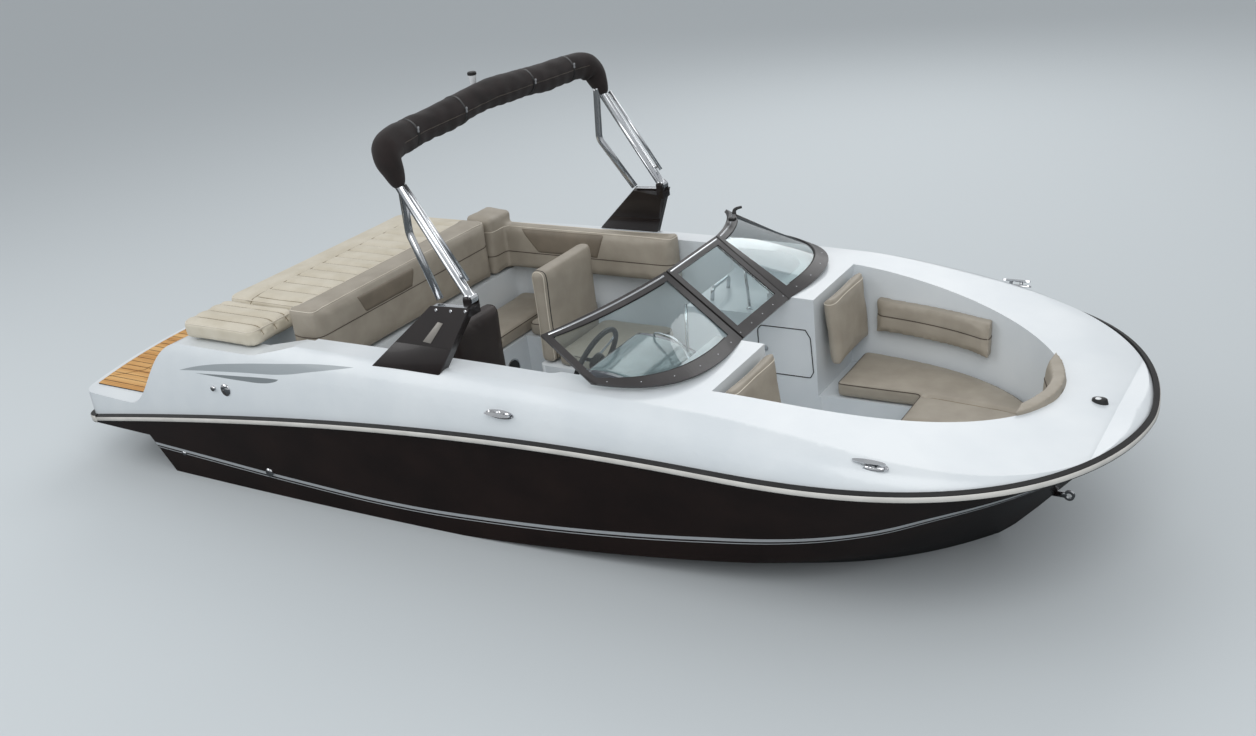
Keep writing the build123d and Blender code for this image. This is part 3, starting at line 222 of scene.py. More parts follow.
class Pattern(Enum):
    """Small relief of a surface."""

    GRAIN = "grain"
    WEAVE = "weave"
    BRUSHED = "brushed"
    PEEL = "peel"
    SPECKLE = "speckle"


@dataclass(frozen=True)
class Finish:
    """One surface: two tones, a relief and a gloss.

    size and height of the relief and tone_size are in mm.
    """

    name: str
    colour: str
    shade: str
    pattern: Pattern
    size: float
    height: float
    roughness: tuple[float, float]
    metallic: float = 0.0
    coat: float = 0.0
    sheen: float = 0.0
    tone_size: float = 140.0

    def relief(self, graph: Graph) -> Socket:
        """The height socket of this finish's relief."""
        unit = 1 / (self.size * MM)
        if self.pattern is Pattern.GRAIN:
            return graph.math("ADD", graph.cells(unit), graph.noise(self.size * 3))
        if self.pattern is Pattern.WEAVE:
            inputs = {"Vector": graph.place, "Scale": unit / 6.3}
            bands = [graph.add("ShaderNodeTexWave", inputs, bands_direction=axis).outputs["Fac"]
                     for axis in "XYZ"]
            return graph.math("MAXIMUM", graph.math("MAXIMUM", bands[0], bands[1]), bands[2])
        if self.pattern is Pattern.BRUSHED:
            return graph.noise(self.size, (1, 30, 30))
        return graph.noise(self.size, detail=1 if self.pattern is Pattern.SPECKLE else 0)

    def build(self) -> bpy.types.Material:
        """The material with this finish."""
        graph = Graph(self.name)
        relief = self.relief(graph)
        graph.set(Base_Color=graph.drift(self.tone_size, self.colour, self.shade),
                  Metallic=self.metallic, Coat_Weight=self.coat, Sheen_Weight=self.sheen,
                  Roughness=graph.ranged(relief, 0.2, 0.8, self.roughness))
        graph.bump(relief, self.height, 0.6)
        return graph.material


@dataclass(frozen=True)
class HullGelcoat:
    """Dark sprayed gelcoat with a broad pale stripe and a fine line under it.

    Widths and the line's drop are in metres.
    """

    name: str = "hull_gelcoat_sprayed"
    colour: str = "#1b1210"
    shade: str = "#231815"
    stripe: str = "#a9adb0"
    broad_half: float = 0.011
    fine_half: float = 0.003
    drop: float = 0.026
    rows: Section = ((0, 560), (6300, 1110), (956, 518), (1700, 482), (2490, 462), (3100, 490),
                     (3790, 552), (4500, 655), (5147, 782), (5497, 908), (5860, 1004))

    def build(self) -> bpy.types.Material:
        """The material: mirror gloss, a trace of orange peel, both stripes."""
        graph = Graph(self.name)
        share, _, height = graph.along()
        line = graph.curve(share, self.rows)
        broad = graph.math("COMPARE", height, line, self.broad_half)
        fine = graph.math("COMPARE", height, graph.math("SUBTRACT", line, self.drop),
                          self.fine_half)
        body = graph.drift(300, self.colour, self.shade)
        graph.set(Base_Color=graph.mix(graph.math("MAXIMUM", broad, fine), body, self.stripe),
                  Roughness=0.22, Specular_IOR_Level=0.3, Coat_Weight=0.25, Coat_Roughness=0.05)
        graph.bump(graph.noise(14, detail=0), 0.2, 0.25)
        return graph.material


@dataclass(frozen=True)
class DeckGelcoat:
    """White sprayed gelcoat with two grey spears aft and a moulded non-skid sole.

    A spear has its lower and its upper edge; both lie outboard of half_breadth metres.
    """

    name: str = "deck_gelcoat_sprayed"
    colour: str = "#d9dee1"
    shade: str = "#d1d7db"
    half_breadth: float = 1.0
    sole_top: float = 500.0
    spears: tuple = (
        ("#9aa1a5",
         ((1052, 1122), (2440, 1318), (1300, 1152), (1600, 1184), (1900, 1214), (2150, 1262)),
         ((1052, 1122), (2440, 1318), (1300, 1186), (1600, 1234), (1900, 1271), (2150, 1300))),
        ("#7d8487",
         ((1194, 1124), (1890, 1186), (1400, 1130), (1600, 1137), (1750, 1146), (1850, 1166)),
         ((1194, 1124), (1890, 1186), (1400, 1144), (1600, 1163), (1750, 1177), (1850, 1184))),
    )

    def build(self) -> bpy.types.Material:
        """The material: cool white gloss, with the spears and a pebbled sole."""
        graph = Graph(self.name)
        share, half, height = graph.along()
        colour = graph.drift(400, self.colour, self.shade)
        outside = graph.math("GREATER_THAN", half, self.half_breadth)
        for grey, lower, upper in self.spears:
            over = graph.math("GREATER_THAN", height, graph.curve(share, lower))
            under = graph.math("LESS_THAN", height, graph.curve(share, upper))
            spear = graph.math("MULTIPLY", graph.math("MULTIPLY", over, under), outside)
            colour = graph.mix(spear, colour, grey)
        sole = graph.math("LESS_THAN", height, (self.sole_top - WATERLINE) * MM)
        graph.set(Base_Color=colour, Coat_Weight=0.3, Coat_Roughness=0.12,
                  Roughness=graph.ranged(sole, 0, 1, (0.34, 0.6)))
        pebbles = graph.math("MULTIPLY", graph.cells(125.0), sole)
        graph.bump(graph.math("ADD", pebbles, graph.noise(16, detail=0)), 0.6, 0.3)
        return graph.material


@dataclass(frozen=True)
class Teak:
    """Synthetic teak decking: golden planks with drawn-out grain."""

    name: str = "teak_decking_extruded"
    colour: str = "#cf9c58"
    shade: str = "#a8733a"
    light: str = "#e0b678"

    def build(self) -> bpy.types.Material:
        """The material: grain along the boat, each plank its own tone."""
        graph = Graph(self.name)
        fibre = graph.ranged(graph.noise(5, (30, 1, 1), 5), 0.35, 0.7)
        plank = graph.ranged(graph.noise(58, (14, 1, 14), 0), 0.35, 0.65)
        body = graph.mix(fibre, self.colour, self.shade)
        graph.set(Base_Color=graph.mix(graph.math("MULTIPLY", plank, 0.6), body, self.light),
                  Roughness=graph.ranged(fibre, 0, 1, (0.55, 0.75)))
        graph.bump(fibre, 0.4, 0.5)
        return graph.material


@dataclass(frozen=True)
class Glazing:
    """Clear bent sheet with a body tint."""

    name: str = "windscreen_glass_bent"
    tint: str = "#e3eff0"
    ior: float = 1.52

    def build(self) -> bpy.types.Material:
        """The material: see-through, blue-green, with faint wipe marks in its gloss."""
        graph = Graph(self.name)
        graph.set(Base_Color=self.tint, Transmission_Weight=1.0, IOR=self.ior,
                  Roughness=graph.ranged(graph.noise(90), 0.4, 0.8, (0.0, 0.04)))
        return graph.material


def vinyl(name: str, colour: str, shade: str, size: float = 1.6, height: float = 0.25,
          roughness: tuple[float, float] = (0.42, 0.55)) -> Finish:
    """Embossed vinyl of one colour."""
    return Finish(f"{name}_vinyl_embossed", colour, shade, Pattern.GRAIN, size, height, roughness)


FINISHES = {
    "hull": HullGelcoat(),
    "deck": DeckGelcoat(),
    "teak": Teak(),
    "glass": Glazing(),
    # Marine vinyl: fine leather grain, soft gloss, a little tone drift
    "beige": vinyl("beige", "#ccc5b5", "#c2baa8"),
    "greige": vinyl("greige", "#a39b8e", "#989083"),
    "pale": vinyl("pale", "#d9d2c4", "#d0c8b9"),
    "taupe": vinyl("taupe", "#7c7264", "#71685b", 1.8, 0.3, (0.45, 0.6)),
    "dark": vinyl("dark", "#2b211d", "#241b18", roughness=(0.38, 0.52)),
    # Thread and piping: twisted, dry, a little lighter where it catches the light
    "thread": Finish("spun_thread", "#8d8372", "#7f7564", Pattern.WEAVE, 0.6, 0.1, (0.6, 0.75),
                     sheen=0.3),
    # The cords' dark beige is partly their own colour and partly painted shade in the grooves they
    # lie in
    "cord": Finish("beige_cord_painted_groove_shade", "#8d8069", "#82755f", Pattern.WEAVE, 0.8, 0.1, (0.6, 0.75)),
    "seam": Finish("dark_piping_sewn", "#4f463c", "#453d34", Pattern.WEAVE, 0.8, 0.1, (0.6, 0.75)),
    # Acrylic canvas: visible weave, no gloss, faded patches
    "canvas": Finish("acrylic_canvas_woven", "#181110", "#201716", Pattern.WEAVE, 1.4, 0.4,
                     (0.8, 0.95), sheen=0.08, tone_size=90),
    # Polished, drawn and coated metals: streaks or faint smears in the gloss
    "tube": Finish("anodised_aluminium_drawn", "#d9dbdd", "#c9ccd0", Pattern.BRUSHED, 1.2, 0.03,
                   (0.14, 0.3), 1.0),
    "steel": Finish("stainless_steel_polished", "#d3d4d6", "#c7c9cc", Pattern.PEEL, 40, 0.02,
                    (0.05, 0.14), 1.0),
    "badge": Finish("plain_badge_anodised", "#8d8983", "#7f7b76", Pattern.BRUSHED, 1.0, 0.03,
                    (0.35, 0.5), 0.3),
    "charcoal": Finish("charcoal_aluminium_coated", "#2e2b2b", "#383535", Pattern.SPECKLE, 0.8,
                       0.06, (0.3, 0.45), coat=0.15),
    "drive": Finish("black_cast_paint", "#17181a", "#202124", Pattern.SPECKLE, 1.6, 0.15,
                    (0.3, 0.45), coat=0.2),
    "blade": Finish("painted_aluminium_cast", "#24262a", "#33353a", Pattern.SPECKLE, 1.2, 0.1,
                    (0.25, 0.4), 0.6),
    # Plastics and rubber: moulded gloss with a slight ripple, moulded grain, or a dull skin
    "gloss_black": Finish("brown_black_fibreglass_satin", "#17100f", "#1d1514", Pattern.PEEL, 12,
                          0.1, (0.3, 0.4), coat=0.15),
    "black": Finish("black_plastic_moulded", "#161616", "#1f1e1e", Pattern.SPECKLE, 0.9, 0.12,
                    (0.4, 0.6)),
    "grey": Finish("grey_plastic_moulded", "#8b8c8e", "#7e8083", Pattern.SPECKLE, 0.9, 0.1,
                   (0.35, 0.5)),
    "white": Finish("white_plastic_moulded", "#e3e5e6", "#d9dcde", Pattern.PEEL, 9, 0.06,
                    (0.2, 0.32)),
    "dash": Finish("dash_plastic_moulded", "#5b5560", "#4d4852", Pattern.PEEL, 7, 0.15,
                   (0.16, 0.28), coat=0.4),
    # Hood top: its pale blue-grey is painted sky reflection on the glossy upward face
    "dash_top": Finish("dash_top_painted_sky_reflection", "#8c9a9c", "#7c8a8d", Pattern.PEEL, 9, 0.08,
                       (0.12, 0.2), coat=0.5),
    "insert": Finish("pale_vinyl_insert_extruded", "#cfcdc8", "#c2c0bb", Pattern.PEEL, 10, 0.05,
                     (0.3, 0.45)),
    "amber": Finish("amber_lens_moulded", "#a9742a", "#8a5a1c", Pattern.PEEL, 6, 0.05, (0.1, 0.2)),
    "rubber": Finish("black_rubber_extruded", "#141313", "#1d1c1c", Pattern.SPECKLE, 1.2, 0.1,
                     (0.5, 0.7)),
    "caulk": Finish("black_caulk_laid", "#15120f", "#211c17", Pattern.SPECKLE, 2.0, 0.1,
                    (0.6, 0.8)),
}
_built: dict[str, bpy.types.Material] = {}


def material(key: str) -> bpy.types.Material:
    """The material of one finish, built once."""
    if key not in _built:
        _built[key] = FINISHES[key].build()
    return _built[key]


# --------------------------------------------------------------------------- mesh helpers


def body_of_node(node: str) -> str:
    """The CAD body that a node belongs to."""
    bodies = frame["record"]["behaviour"]["bodies"]
    return next(name for name, nodes in bodies.items() if node in nodes)


def as_mesh(shape: Shape, name: str) -> bpy.types.Mesh:
    """The shape as mesh data of that name; the shape itself is freed."""
    mesh = bpy.data.meshes.new(name)
    shape.to_mesh(mesh)
    shape.free()
    return mesh


def linked(data: bpy.types.ID, name: str) -> Piece:
    """A new object of the data, in the scene."""
    item = bpy.data.objects.new(name, data)
    bpy.context.scene.collection.objects.link(item)
    return item


def joined(shapes: Sequence[Shape]) -> Shape:
    """Several shapes as one."""
    whole = bmesh.new()
    for shape in shapes:
        mesh = as_mesh(shape, "part")
        whole.from_mesh(mesh)
        bpy.data.meshes.remove(mesh)
    return whole


def new_object(name: str, shape: Shape | list[Shape] | bpy.types.Mesh, key: str,
               body: str = "boat", angle: float = 35.0) -> Piece:
    """Makes a shown piece.

    Args:
        name: Piece name.
        shape: Its shape, shapes or mesh, in the row frame.
        key: Its finish.
        body: CAD body it rides on.
        angle: Edges sharper than this many degrees stay sharp.

    Returns:
        The piece, smooth shaded, riding on its body.
    """
    if isinstance(shape, list):
        shape = joined(shape)
    mesh = as_mesh(shape, name) if isinstance(shape, Shape) else shape
    mesh.shade_smooth()
    mesh.set_sharp_from_angle(angle=math.radians(angle))
    mesh.materials.clear()
    mesh.materials.append(material(key))
    piece = linked(mesh, name)
    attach(piece, body)
    return piece


def from_lists(points: Sequence[Vector], faces: Sequence[Sequence[int]]) -> Shape:
    """A shape of points and faces, doubles merged, faces turned outward."""
    shape = bmesh.new()
    corners = [shape.verts.new(p) for p in points]
    for face in faces:
        try:
            shape.faces.new([corners[i] for i in face])
        except ValueError:
            continue
    bmesh.ops.remove_doubles(shape, verts=shape.verts, dist=1e-6)
    bmesh.ops.recalc_face_normals(shape, faces=shape.faces)
    return shape


def smooth_path(points: Sequence[Vector], steps: int) -> Path:
    """An open curve through three or more points, steps of them to a stretch."""
    last = len(points) - 1
    result: Path = []
    for i in range(last):
        a, b, c, d = (points[min(max(i + k, 0), last)] for k in (-1, 0, 1, 2))
        for s in range(steps):
            t = s / steps
            result.append(0.5 * ((2 * b) + (c - a) * t + (2 * a - 5 * b + 4 * c - d) * t * t
                                 + (3 * b - a - 3 * c + d) * t ** 3))
    return [*result, points[-1].copy()]


def spaced(path: Sequence[Vector], step: float, closed: bool = False) -> Path:
    """The path's points set at even steps."""
    places = np.array([tuple(p) for p in [*path, *path[:1 if closed else 0]]])
    lengths = np.linalg.norm(np.diff(places, axis=0), axis=1)
    run = np.concatenate([[0], np.cumsum(lengths)])
    count = max(3, int(round(run[-1] / step)))
    marks = np.linspace(0, run[-1], count, endpoint=not closed)
    return [Vector([float(np.interp(m, run, places[:, k])) for k in range(3)]) for m in marks]


def ring(radius: float, sides: int) -> Section:
    """Round section, radius in mm."""
    turns = [2 * math.pi * i / sides for i in range(sides)]
    return [(radius * MM * math.cos(turn), radius * MM * math.sin(turn)) for turn in turns]


def soft_bar(width: float, height: float, corner: float) -> Section:
    """Rounded rectangular section in mm."""
    result = []
    for quarter, (sx, sy) in enumerate(((1, 1), (-1, 1), (-1, -1), (1, -1))):
        for i in range(3):
            turn = math.pi / 2 * (quarter + i / 2)
            result.append(((sx * (width / 2 - corner) + corner * math.cos(turn)) * MM,
                           (sy * (height / 2 - corner) + corner * math.sin(turn)) * MM))
    return result


def sweep(path: Sequence[Vector], section: Section, closed: bool = False,
          up: Vector | None = None,
          swell: Callable[[float, float], float] | None = None) -> Shape:
    """Carries a section along a path.

    Args:
        path: Points it follows.
        section: Closed outline as (sideways, up) pairs in metres.
        closed: Whether the path is a loop.
        up: Direction the section's second axis leans to.
        swell: Size of the section for (share of the path, share round the section).

    Returns:
        The closed shape.
    """
    count, sides = len(path), len(section)
    points: Path = []
    lift = up or UP
    for i, spot in enumerate(path):
        before = path[i - 1] if (closed or i) else spot
        after = path[(i + 1) % count] if (closed or i < count - 1) else spot
        heading = (after - before).normalized()
        if up is None and i == 0 and abs(heading.dot(lift)) > 0.9:
            lift = PORT
        side = heading.cross(lift)
        side = side.normalized() if side.length > 1e-6 else PORT
        rise = side.cross(heading).normalized()
        if up is None:
            lift = rise
        for k, (a, b) in enumerate(section):
            size = swell(i / max(count - 1, 1), k / sides) if swell else 1.0
            points.append(spot + side * a * size + rise * b * size)
    faces = []
    for i in range(count if closed else count - 1):
        j = (i + 1) % count
        for k in range(sides):
            m = (k + 1) % sides
            faces.append((i * sides + k, i * sides + m, j * sides + m, j * sides + k))
    if not closed:
        faces += [tuple(range(sides)), tuple(range((count - 1) * sides, count * sides))]
    return from_lists(points, faces)


def lathe(rows: Section, origin: Vector, axis: Vector, sides: int = 40) -> Shape:
    """Turned shape from (radius, distance along the axis) rows in mm."""
    turn = axis.to_track_quat("Z", "Y").to_matrix()
    points = []
    for radius, along in rows:
        for k in range(sides):
            angle = 2 * math.pi * k / sides
            local = Vector((radius * MM * math.cos(angle), radius * MM * math.sin(angle),
                            along * MM))
            points.append(origin + turn @ local)
    faces = [(i + k, i + (k + 1) % sides, i + sides + (k + 1) % sides, i + sides + k)
             for i in range(0, (len(rows) - 1) * sides, sides) for k in range(sides)]
    for end in (0, len(rows) - 1):
        if rows[end][0] > 0:
            faces.append(tuple(end * sides + k for k in range(sides)))
    return from_lists(points, faces)


def rounded(shape: Shape, edges: Sequence[bmesh.types.BMEdge], corner: float, steps: int) -> Shape:
    """The shape with some of its edges rounded, corner in mm."""
    bmesh.ops.bevel(shape, geom=edges, offset=corner * MM, segments=steps, profile=0.5,
                    affect="EDGES", clamp_overlap=True)
    return shape


def block(low: Point, high: Point, corner: float) -> Shape:
    """Block between two drawn corners with all its edges rounded."""
    a, b = place(*low), place(*high)
    shape = bmesh.new()
    bmesh.ops.create_cube(shape, size=1.0)
    for vert in shape.verts:
        vert.co = Vector([(a[k] + b[k]) / 2 + vert.co[k] * (b[k] - a[k]) for k in range(3)])
    return rounded(shape, list(shape.edges), corner, 3)


def plate(outline: Sequence[Vector], depth: Vector, corner: float) -> Shape:
    """Flat plate of an outline, as thick as depth, its rims rounded."""
    count = len(outline)
    points = [p - depth / 2 for p in outline] + [p + depth / 2 for p in outline]
    faces = [tuple(range(count)), tuple(range(count, 2 * count))]
    faces += [(i, (i + 1) % count, count + (i + 1) % count, count + i) for i in range(count)]
    shape = from_lists(points, faces)
    rims = [e for e in shape.edges
            if len(e.link_faces) == 2 and any(len(f.verts) == count for f in e.link_faces)]
    return rounded(shape, rims, corner, 2)


def modify(piece: Piece, kind: str, **settings: object) -> None:
    """Adds a modifier and works it into the mesh."""
    modifier = piece.modifiers.new(kind.lower(), kind)
    for key, value in settings.items():
        setattr(modifier, key, value)
    bpy.context.view_layer.objects.active = piece
    with bpy.context.temp_override(object=piece, active_object=piece):
        bpy.ops.object.modifier_apply(modifier=modifier.name)


def bake(piece: Piece, name: str, key: str, body: str) -> Piece:
    """The piece with its modifiers worked into the mesh of a new piece."""
    graph = bpy.context.evaluated_depsgraph_get()
    mesh = bpy.data.meshes.new_from_object(piece.evaluated_get(graph))
    mesh.name = name
    bpy.data.objects.remove(piece)
    return new_object(name, mesh, key, body)


def opened(piece: Piece) -> Shape:
    """A copy of a piece's mesh to work on."""
    shape = bmesh.new()
    shape.from_mesh(piece.data)
    return shape


def cad_shape(node: str) -> Shape:
    """Copy of a CAD node's mesh with its loose triangles merged."""
    shape = opened(frame["nodes"][node])
    bmesh.ops.remove_doubles(shape, verts=shape.verts, dist=DOUBLES)
    return shape


def even_shade(piece: Piece, angle: float) -> None:
    """Shades a large skin evenly: broad faces lead, sharp edges and slivers stay apart."""
    shape = opened(piece)
    for edge in shape.edges:
        least = min((f.calc_area() for f in edge.link_faces), default=0.0)
        thin = least < SLIVER * MM * edge.calc_length()
        edge.smooth = edge.calc_face_angle(math.pi) < math.radians(angle) and not thin
    shape.to_mesh(piece.data)
    shape.free()
    modify(piece, "WEIGHTED_NORMAL", mode="FACE_AREA_WITH_ANGLE", keep_sharp=True)


def surface_of(piece: Piece) -> BVHTree:
    """Search tree of a piece's faces."""
    shape = opened(piece)
    tree = BVHTree.FromBMesh(shape)
    shape.free()
    return tree


def cast(spot: Vector, tree: BVHTree, toward: Vector) -> Vector | None:
    """Where the line through a point first meets a surface."""
    return tree.ray_cast(spot - toward * RAY_BACK, toward, RAY_REACH)[0]


def draped(line: Sequence[Vector], tree: BVHTree, toward: Vector, lift: float = 0.0) -> Path:
    """The points of a line that reach a surface, lift mm off it."""
    hits = [cast(spot, tree, toward) for spot in line]
    return [hit - toward * lift * MM for hit in hits if hit is not None]


def patch(name: str, corners: Sequence[Vector], tree: BVHTree, toward: Vector, key: str,
          body: str, step: float = SEWN_STEP, sunk: float = -2.0, proud: float = 2.2) -> None:
    """A thin panel of four corners laid onto a surface, its rim sewn in.

    Args:
        name: Piece name.
        corners: Its corners in order.
        tree: The surface.
        toward: Direction in which it is laid.
        key: Finish.
        body: CAD body it rides on.
        step: Size of its faces in metres.
        sunk: Height of its rim over the surface in mm.
        proud: Height of the rest.
    """
    first, second, third, fourth = corners
    long = max(4, int((second - first).length / step))
    wide = max(4, int((fourth - first).length / step))
    points, faces = [], []
    for i in range(long + 1):
        for k in range(wide + 1):
            a, b = i / long, k / wide
            spot = first.lerp(second, a).lerp(fourth.lerp(third, a), b)
            rim = i in (0, long) or k in (0, wide)
            hit = cast(spot, tree, toward) or spot
            points.append(hit - toward * (sunk if rim else proud) * MM)
            if i < long and k < wide:
                row = i * (wide + 1) + k
                faces.append((row, row + 1, row + wide + 2, row + wide + 1))
    piece = new_object(name, from_lists(points, faces), key, body, 60)
    modify(piece, "SOLIDIFY", thickness=3 * MM, offset=0.0)


def cut_loops(piece: Piece, axis: int, level: float) -> list[Path]:
    """Loops where a flat cut crosses a piece.

    Args:
        piece: The piece.
        axis: Axis the cut is square to.
        level: Where on that axis, in the row frame's metres.

    Returns:
        One closed run of points for each island that the cut crosses.
    """
    shape = opened(piece)
    normal = Vector([float(k == axis) for k in range(3)])
    cut = bmesh.ops.bisect_plane(shape, geom=[*shape.verts, *shape.edges, *shape.faces],
                                 plane_co=normal * level, plane_no=normal)["geom_cut"]
    links: dict[bmesh.types.BMVert, list[bmesh.types.BMVert]] = {}
    for edge in cut:
        if isinstance(edge, bmesh.types.BMEdge):
            for vert in edge.verts:
                links.setdefault(vert, []).append(edge.other_vert(vert))
    loops, seen = [], set()
    for start in links:
        loop, here = [], None if start in seen else start
        while here is not None:
            seen.add(here)
            loop.append(here.co.copy())
            here = next((vert for vert in links[here] if vert not in seen), None)
        if len(loop) > 8:
            loops.append(spaced(loop, CUT_STEP, closed=True))
    shape.free()
    return loops


# --------------------------------------------------------------------------- repeated shapes


class NodeGroup(Tree):
    """Geometry Nodes group that turns a carrier mesh into a painted piece."""

    def __init__(self, name: str, inputs: dict[str, str]) -> None:
        """Starts the group.

        Args:
            name: Name of the group.
            inputs: Name to socket type of what it takes besides a mesh and a material.
        """
        super().__init__(bpy.data.node_groups.new(name, "GeometryNodeTree"))
        face = self.tree.interface
        self.sockets = {
            label: face.new_socket(label, in_out="INPUT", socket_type="NodeSocket" + kind)
            for label, kind in {"Geometry": "Geometry", **inputs, "Material": "Material"}.items()
        }
        face.new_socket("Geometry", in_out="OUTPUT", socket_type="NodeSocketGeometry")
        self.entry = self.add("NodeGroupInput").outputs

    def copies(self, points: bpy.types.Node, shape: Socket, **turn: Socket) -> Socket:
        """One copy of a shape at each point, as real geometry."""
        inputs = {"Points": points.outputs[0], "Instance": shape, **turn}
        on_points = self.add("GeometryNodeInstanceOnPoints", inputs)
        return self.add("GeometryNodeRealizeInstances", {0: on_points.outputs[0]}).outputs[0]

    def close(self, shape: Socket) -> None:
        """Paints the shape and sends it out."""
        paint = self.add("GeometryNodeSetMaterial",
                         {"Geometry": shape, "Material": self.entry["Material"]})
        self.add("NodeGroupOutput", {0: paint.outputs[0]})

    def work(self, name: str, shape: Shape, values: dict, key: str, body: str) -> Piece:
        """The piece that the group makes of a shape.

        Args:
            name: New piece's name.
            shape: What the group starts from.
            values: Value of each of its inputs.
            key: Finish.
            body: CAD body.

        Returns:
            The piece.
        """
        carrier = linked(as_mesh(shape, "carrier"), "carrier")
        modifier = carrier.modifiers.new("group", "NODES")
        modifier.node_group = self.tree
        for label, value in {**values, "Material": material(key)}.items():
            modifier[self.sockets[label].identifier] = value
        return bake(carrier, name, key, body)


class Repeater(NodeGroup):
    """Sets one small shape at even steps along paths."""

    def __init__(self) -> None:
        """Builds the group once."""
        super().__init__("repeat_along_path", {"Shape": "Object", "Spacing": "Float"})
        curve = self.add("GeometryNodeMeshToCurve", {0: self.entry["Geometry"]}).outputs[0]
        evenly = self.add("GeometryNodeResampleCurve",
                          {"Curve": curve, "Length": self.entry["Spacing"]}, mode="LENGTH")
        shape = self.add("GeometryNodeObjectInfo", {"Object": self.entry["Shape"]})
        tangent = self.add("GeometryNodeInputTangent").outputs[0]
        turn = self.add("FunctionNodeAlignRotationToVector", {"Vector": tangent}, axis="X")
        self.close(self.copies(evenly, shape.outputs["Geometry"], Rotation=turn.outputs[0]))

    def along(self, name: str, paths: Sequence[Path], shape: Shape, step: float, key: str,
              body: str) -> None:
        """Sets a shape along paths.

        Args:
            name: New piece's name.
            paths: Runs of points.
            shape: One small shape round the origin, its length along X.
            step: Distance between shapes in mm.
            key: Finish.
            body: CAD body.
        """
        line = bmesh.new()
        for path in paths:
            verts = [line.verts.new(p) for p in path]
            for pair in zip(verts, verts[1:]):
                line.edges.new(pair)
        stamp = linked(as_mesh(shape, "stamp"), "stamp")
        stamp.data.shade_smooth()
        self.work(name, line, {"Shape": stamp, "Spacing": step * MM}, key, body)
        bpy.data.objects.remove(stamp)


class PlankField(NodeGroup):
    """Fills a pad's outline with planks laid side by side."""

    def __init__(self) -> None:
        """Builds the group once."""
        super().__init__("planks_in_outline", {"Start": "Vector", "Pitch": "Float",
                                               "Count": "Int", "Plank": "Vector"})
        entry = self.entry
        pitch = self.add("ShaderNodeCombineXYZ", {"Y": entry["Pitch"]}).outputs[0]
        rows = self.add("GeometryNodeMeshLine", {"Count": entry["Count"], "Offset": pitch,
                                                 "Start Location": entry["Start"]})
        plank = self.add("GeometryNodeMeshCube", {"Size": entry["Plank"]}).outputs[0]
        inside = self.add("GeometryNodeMeshBoolean", operation="INTERSECT")
        for shape in (entry["Geometry"], self.copies(rows, plank)):
            self.feed(inside.inputs["Mesh 2"], shape)
        self.close(inside.outputs[0])


REPEAT = Repeater()
PLANKS = PlankField()


def stitch() -> Shape:
    """One stitch of thread, along X."""
    bow = ((-1.9, -0.5), (-0.9, 0.35), (0.9, 0.35), (1.9, -0.5))
    return sweep([Vector((x * MM, 0, z * MM)) for x, z in bow], ring(0.55, 5))


def screw_head(radius: float) -> Shape:
    """One round screw head, standing on Z."""
    rows = ((radius, -0.5), (radius, 0.6), (radius * 0.7, 1.5), (radius * 0.25, 1.9))
    return lathe(rows, Vector(), UP, 10)


# --------------------------------------------------------------------------- soft pieces


def rows_of(vertices: bpy.types.bpy_prop_collection, name: str) -> np.ndarray:
    """A vector of every vertex, one to a row."""
    flat = np.empty(len(vertices) * 3)
    vertices.foreach_get(name, flat)
    return flat.reshape(-1, 3)


def padded(node: str) -> None:
    """Hides the CAD node that a padded piece stands in for."""
    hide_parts(node)


def press(piece: Piece, runs: Sequence[Path], depth: float, width: float) -> None:
    """Moves a cover inward near some runs, depth and width in mm."""
    spots = [p for run in runs for p in run]
    if not spots:
        return
    tree = kdtree.KDTree(len(spots))
    for index, spot in enumerate(spots):
        tree.insert(spot, index)
    tree.balance()
    moves = []
    for vert in piece.data.vertices:
        distance = tree.find(vert.co)[2] / MM
        if distance < width * GROOVE_REACH:
            share = math.exp(-(distance / width * GROOVE_FALL) ** 2)
            moves.append((vert.index, vert.normal * depth * MM * share))
    for index, move in moves:
        piece.data.vertices[index].co -= move


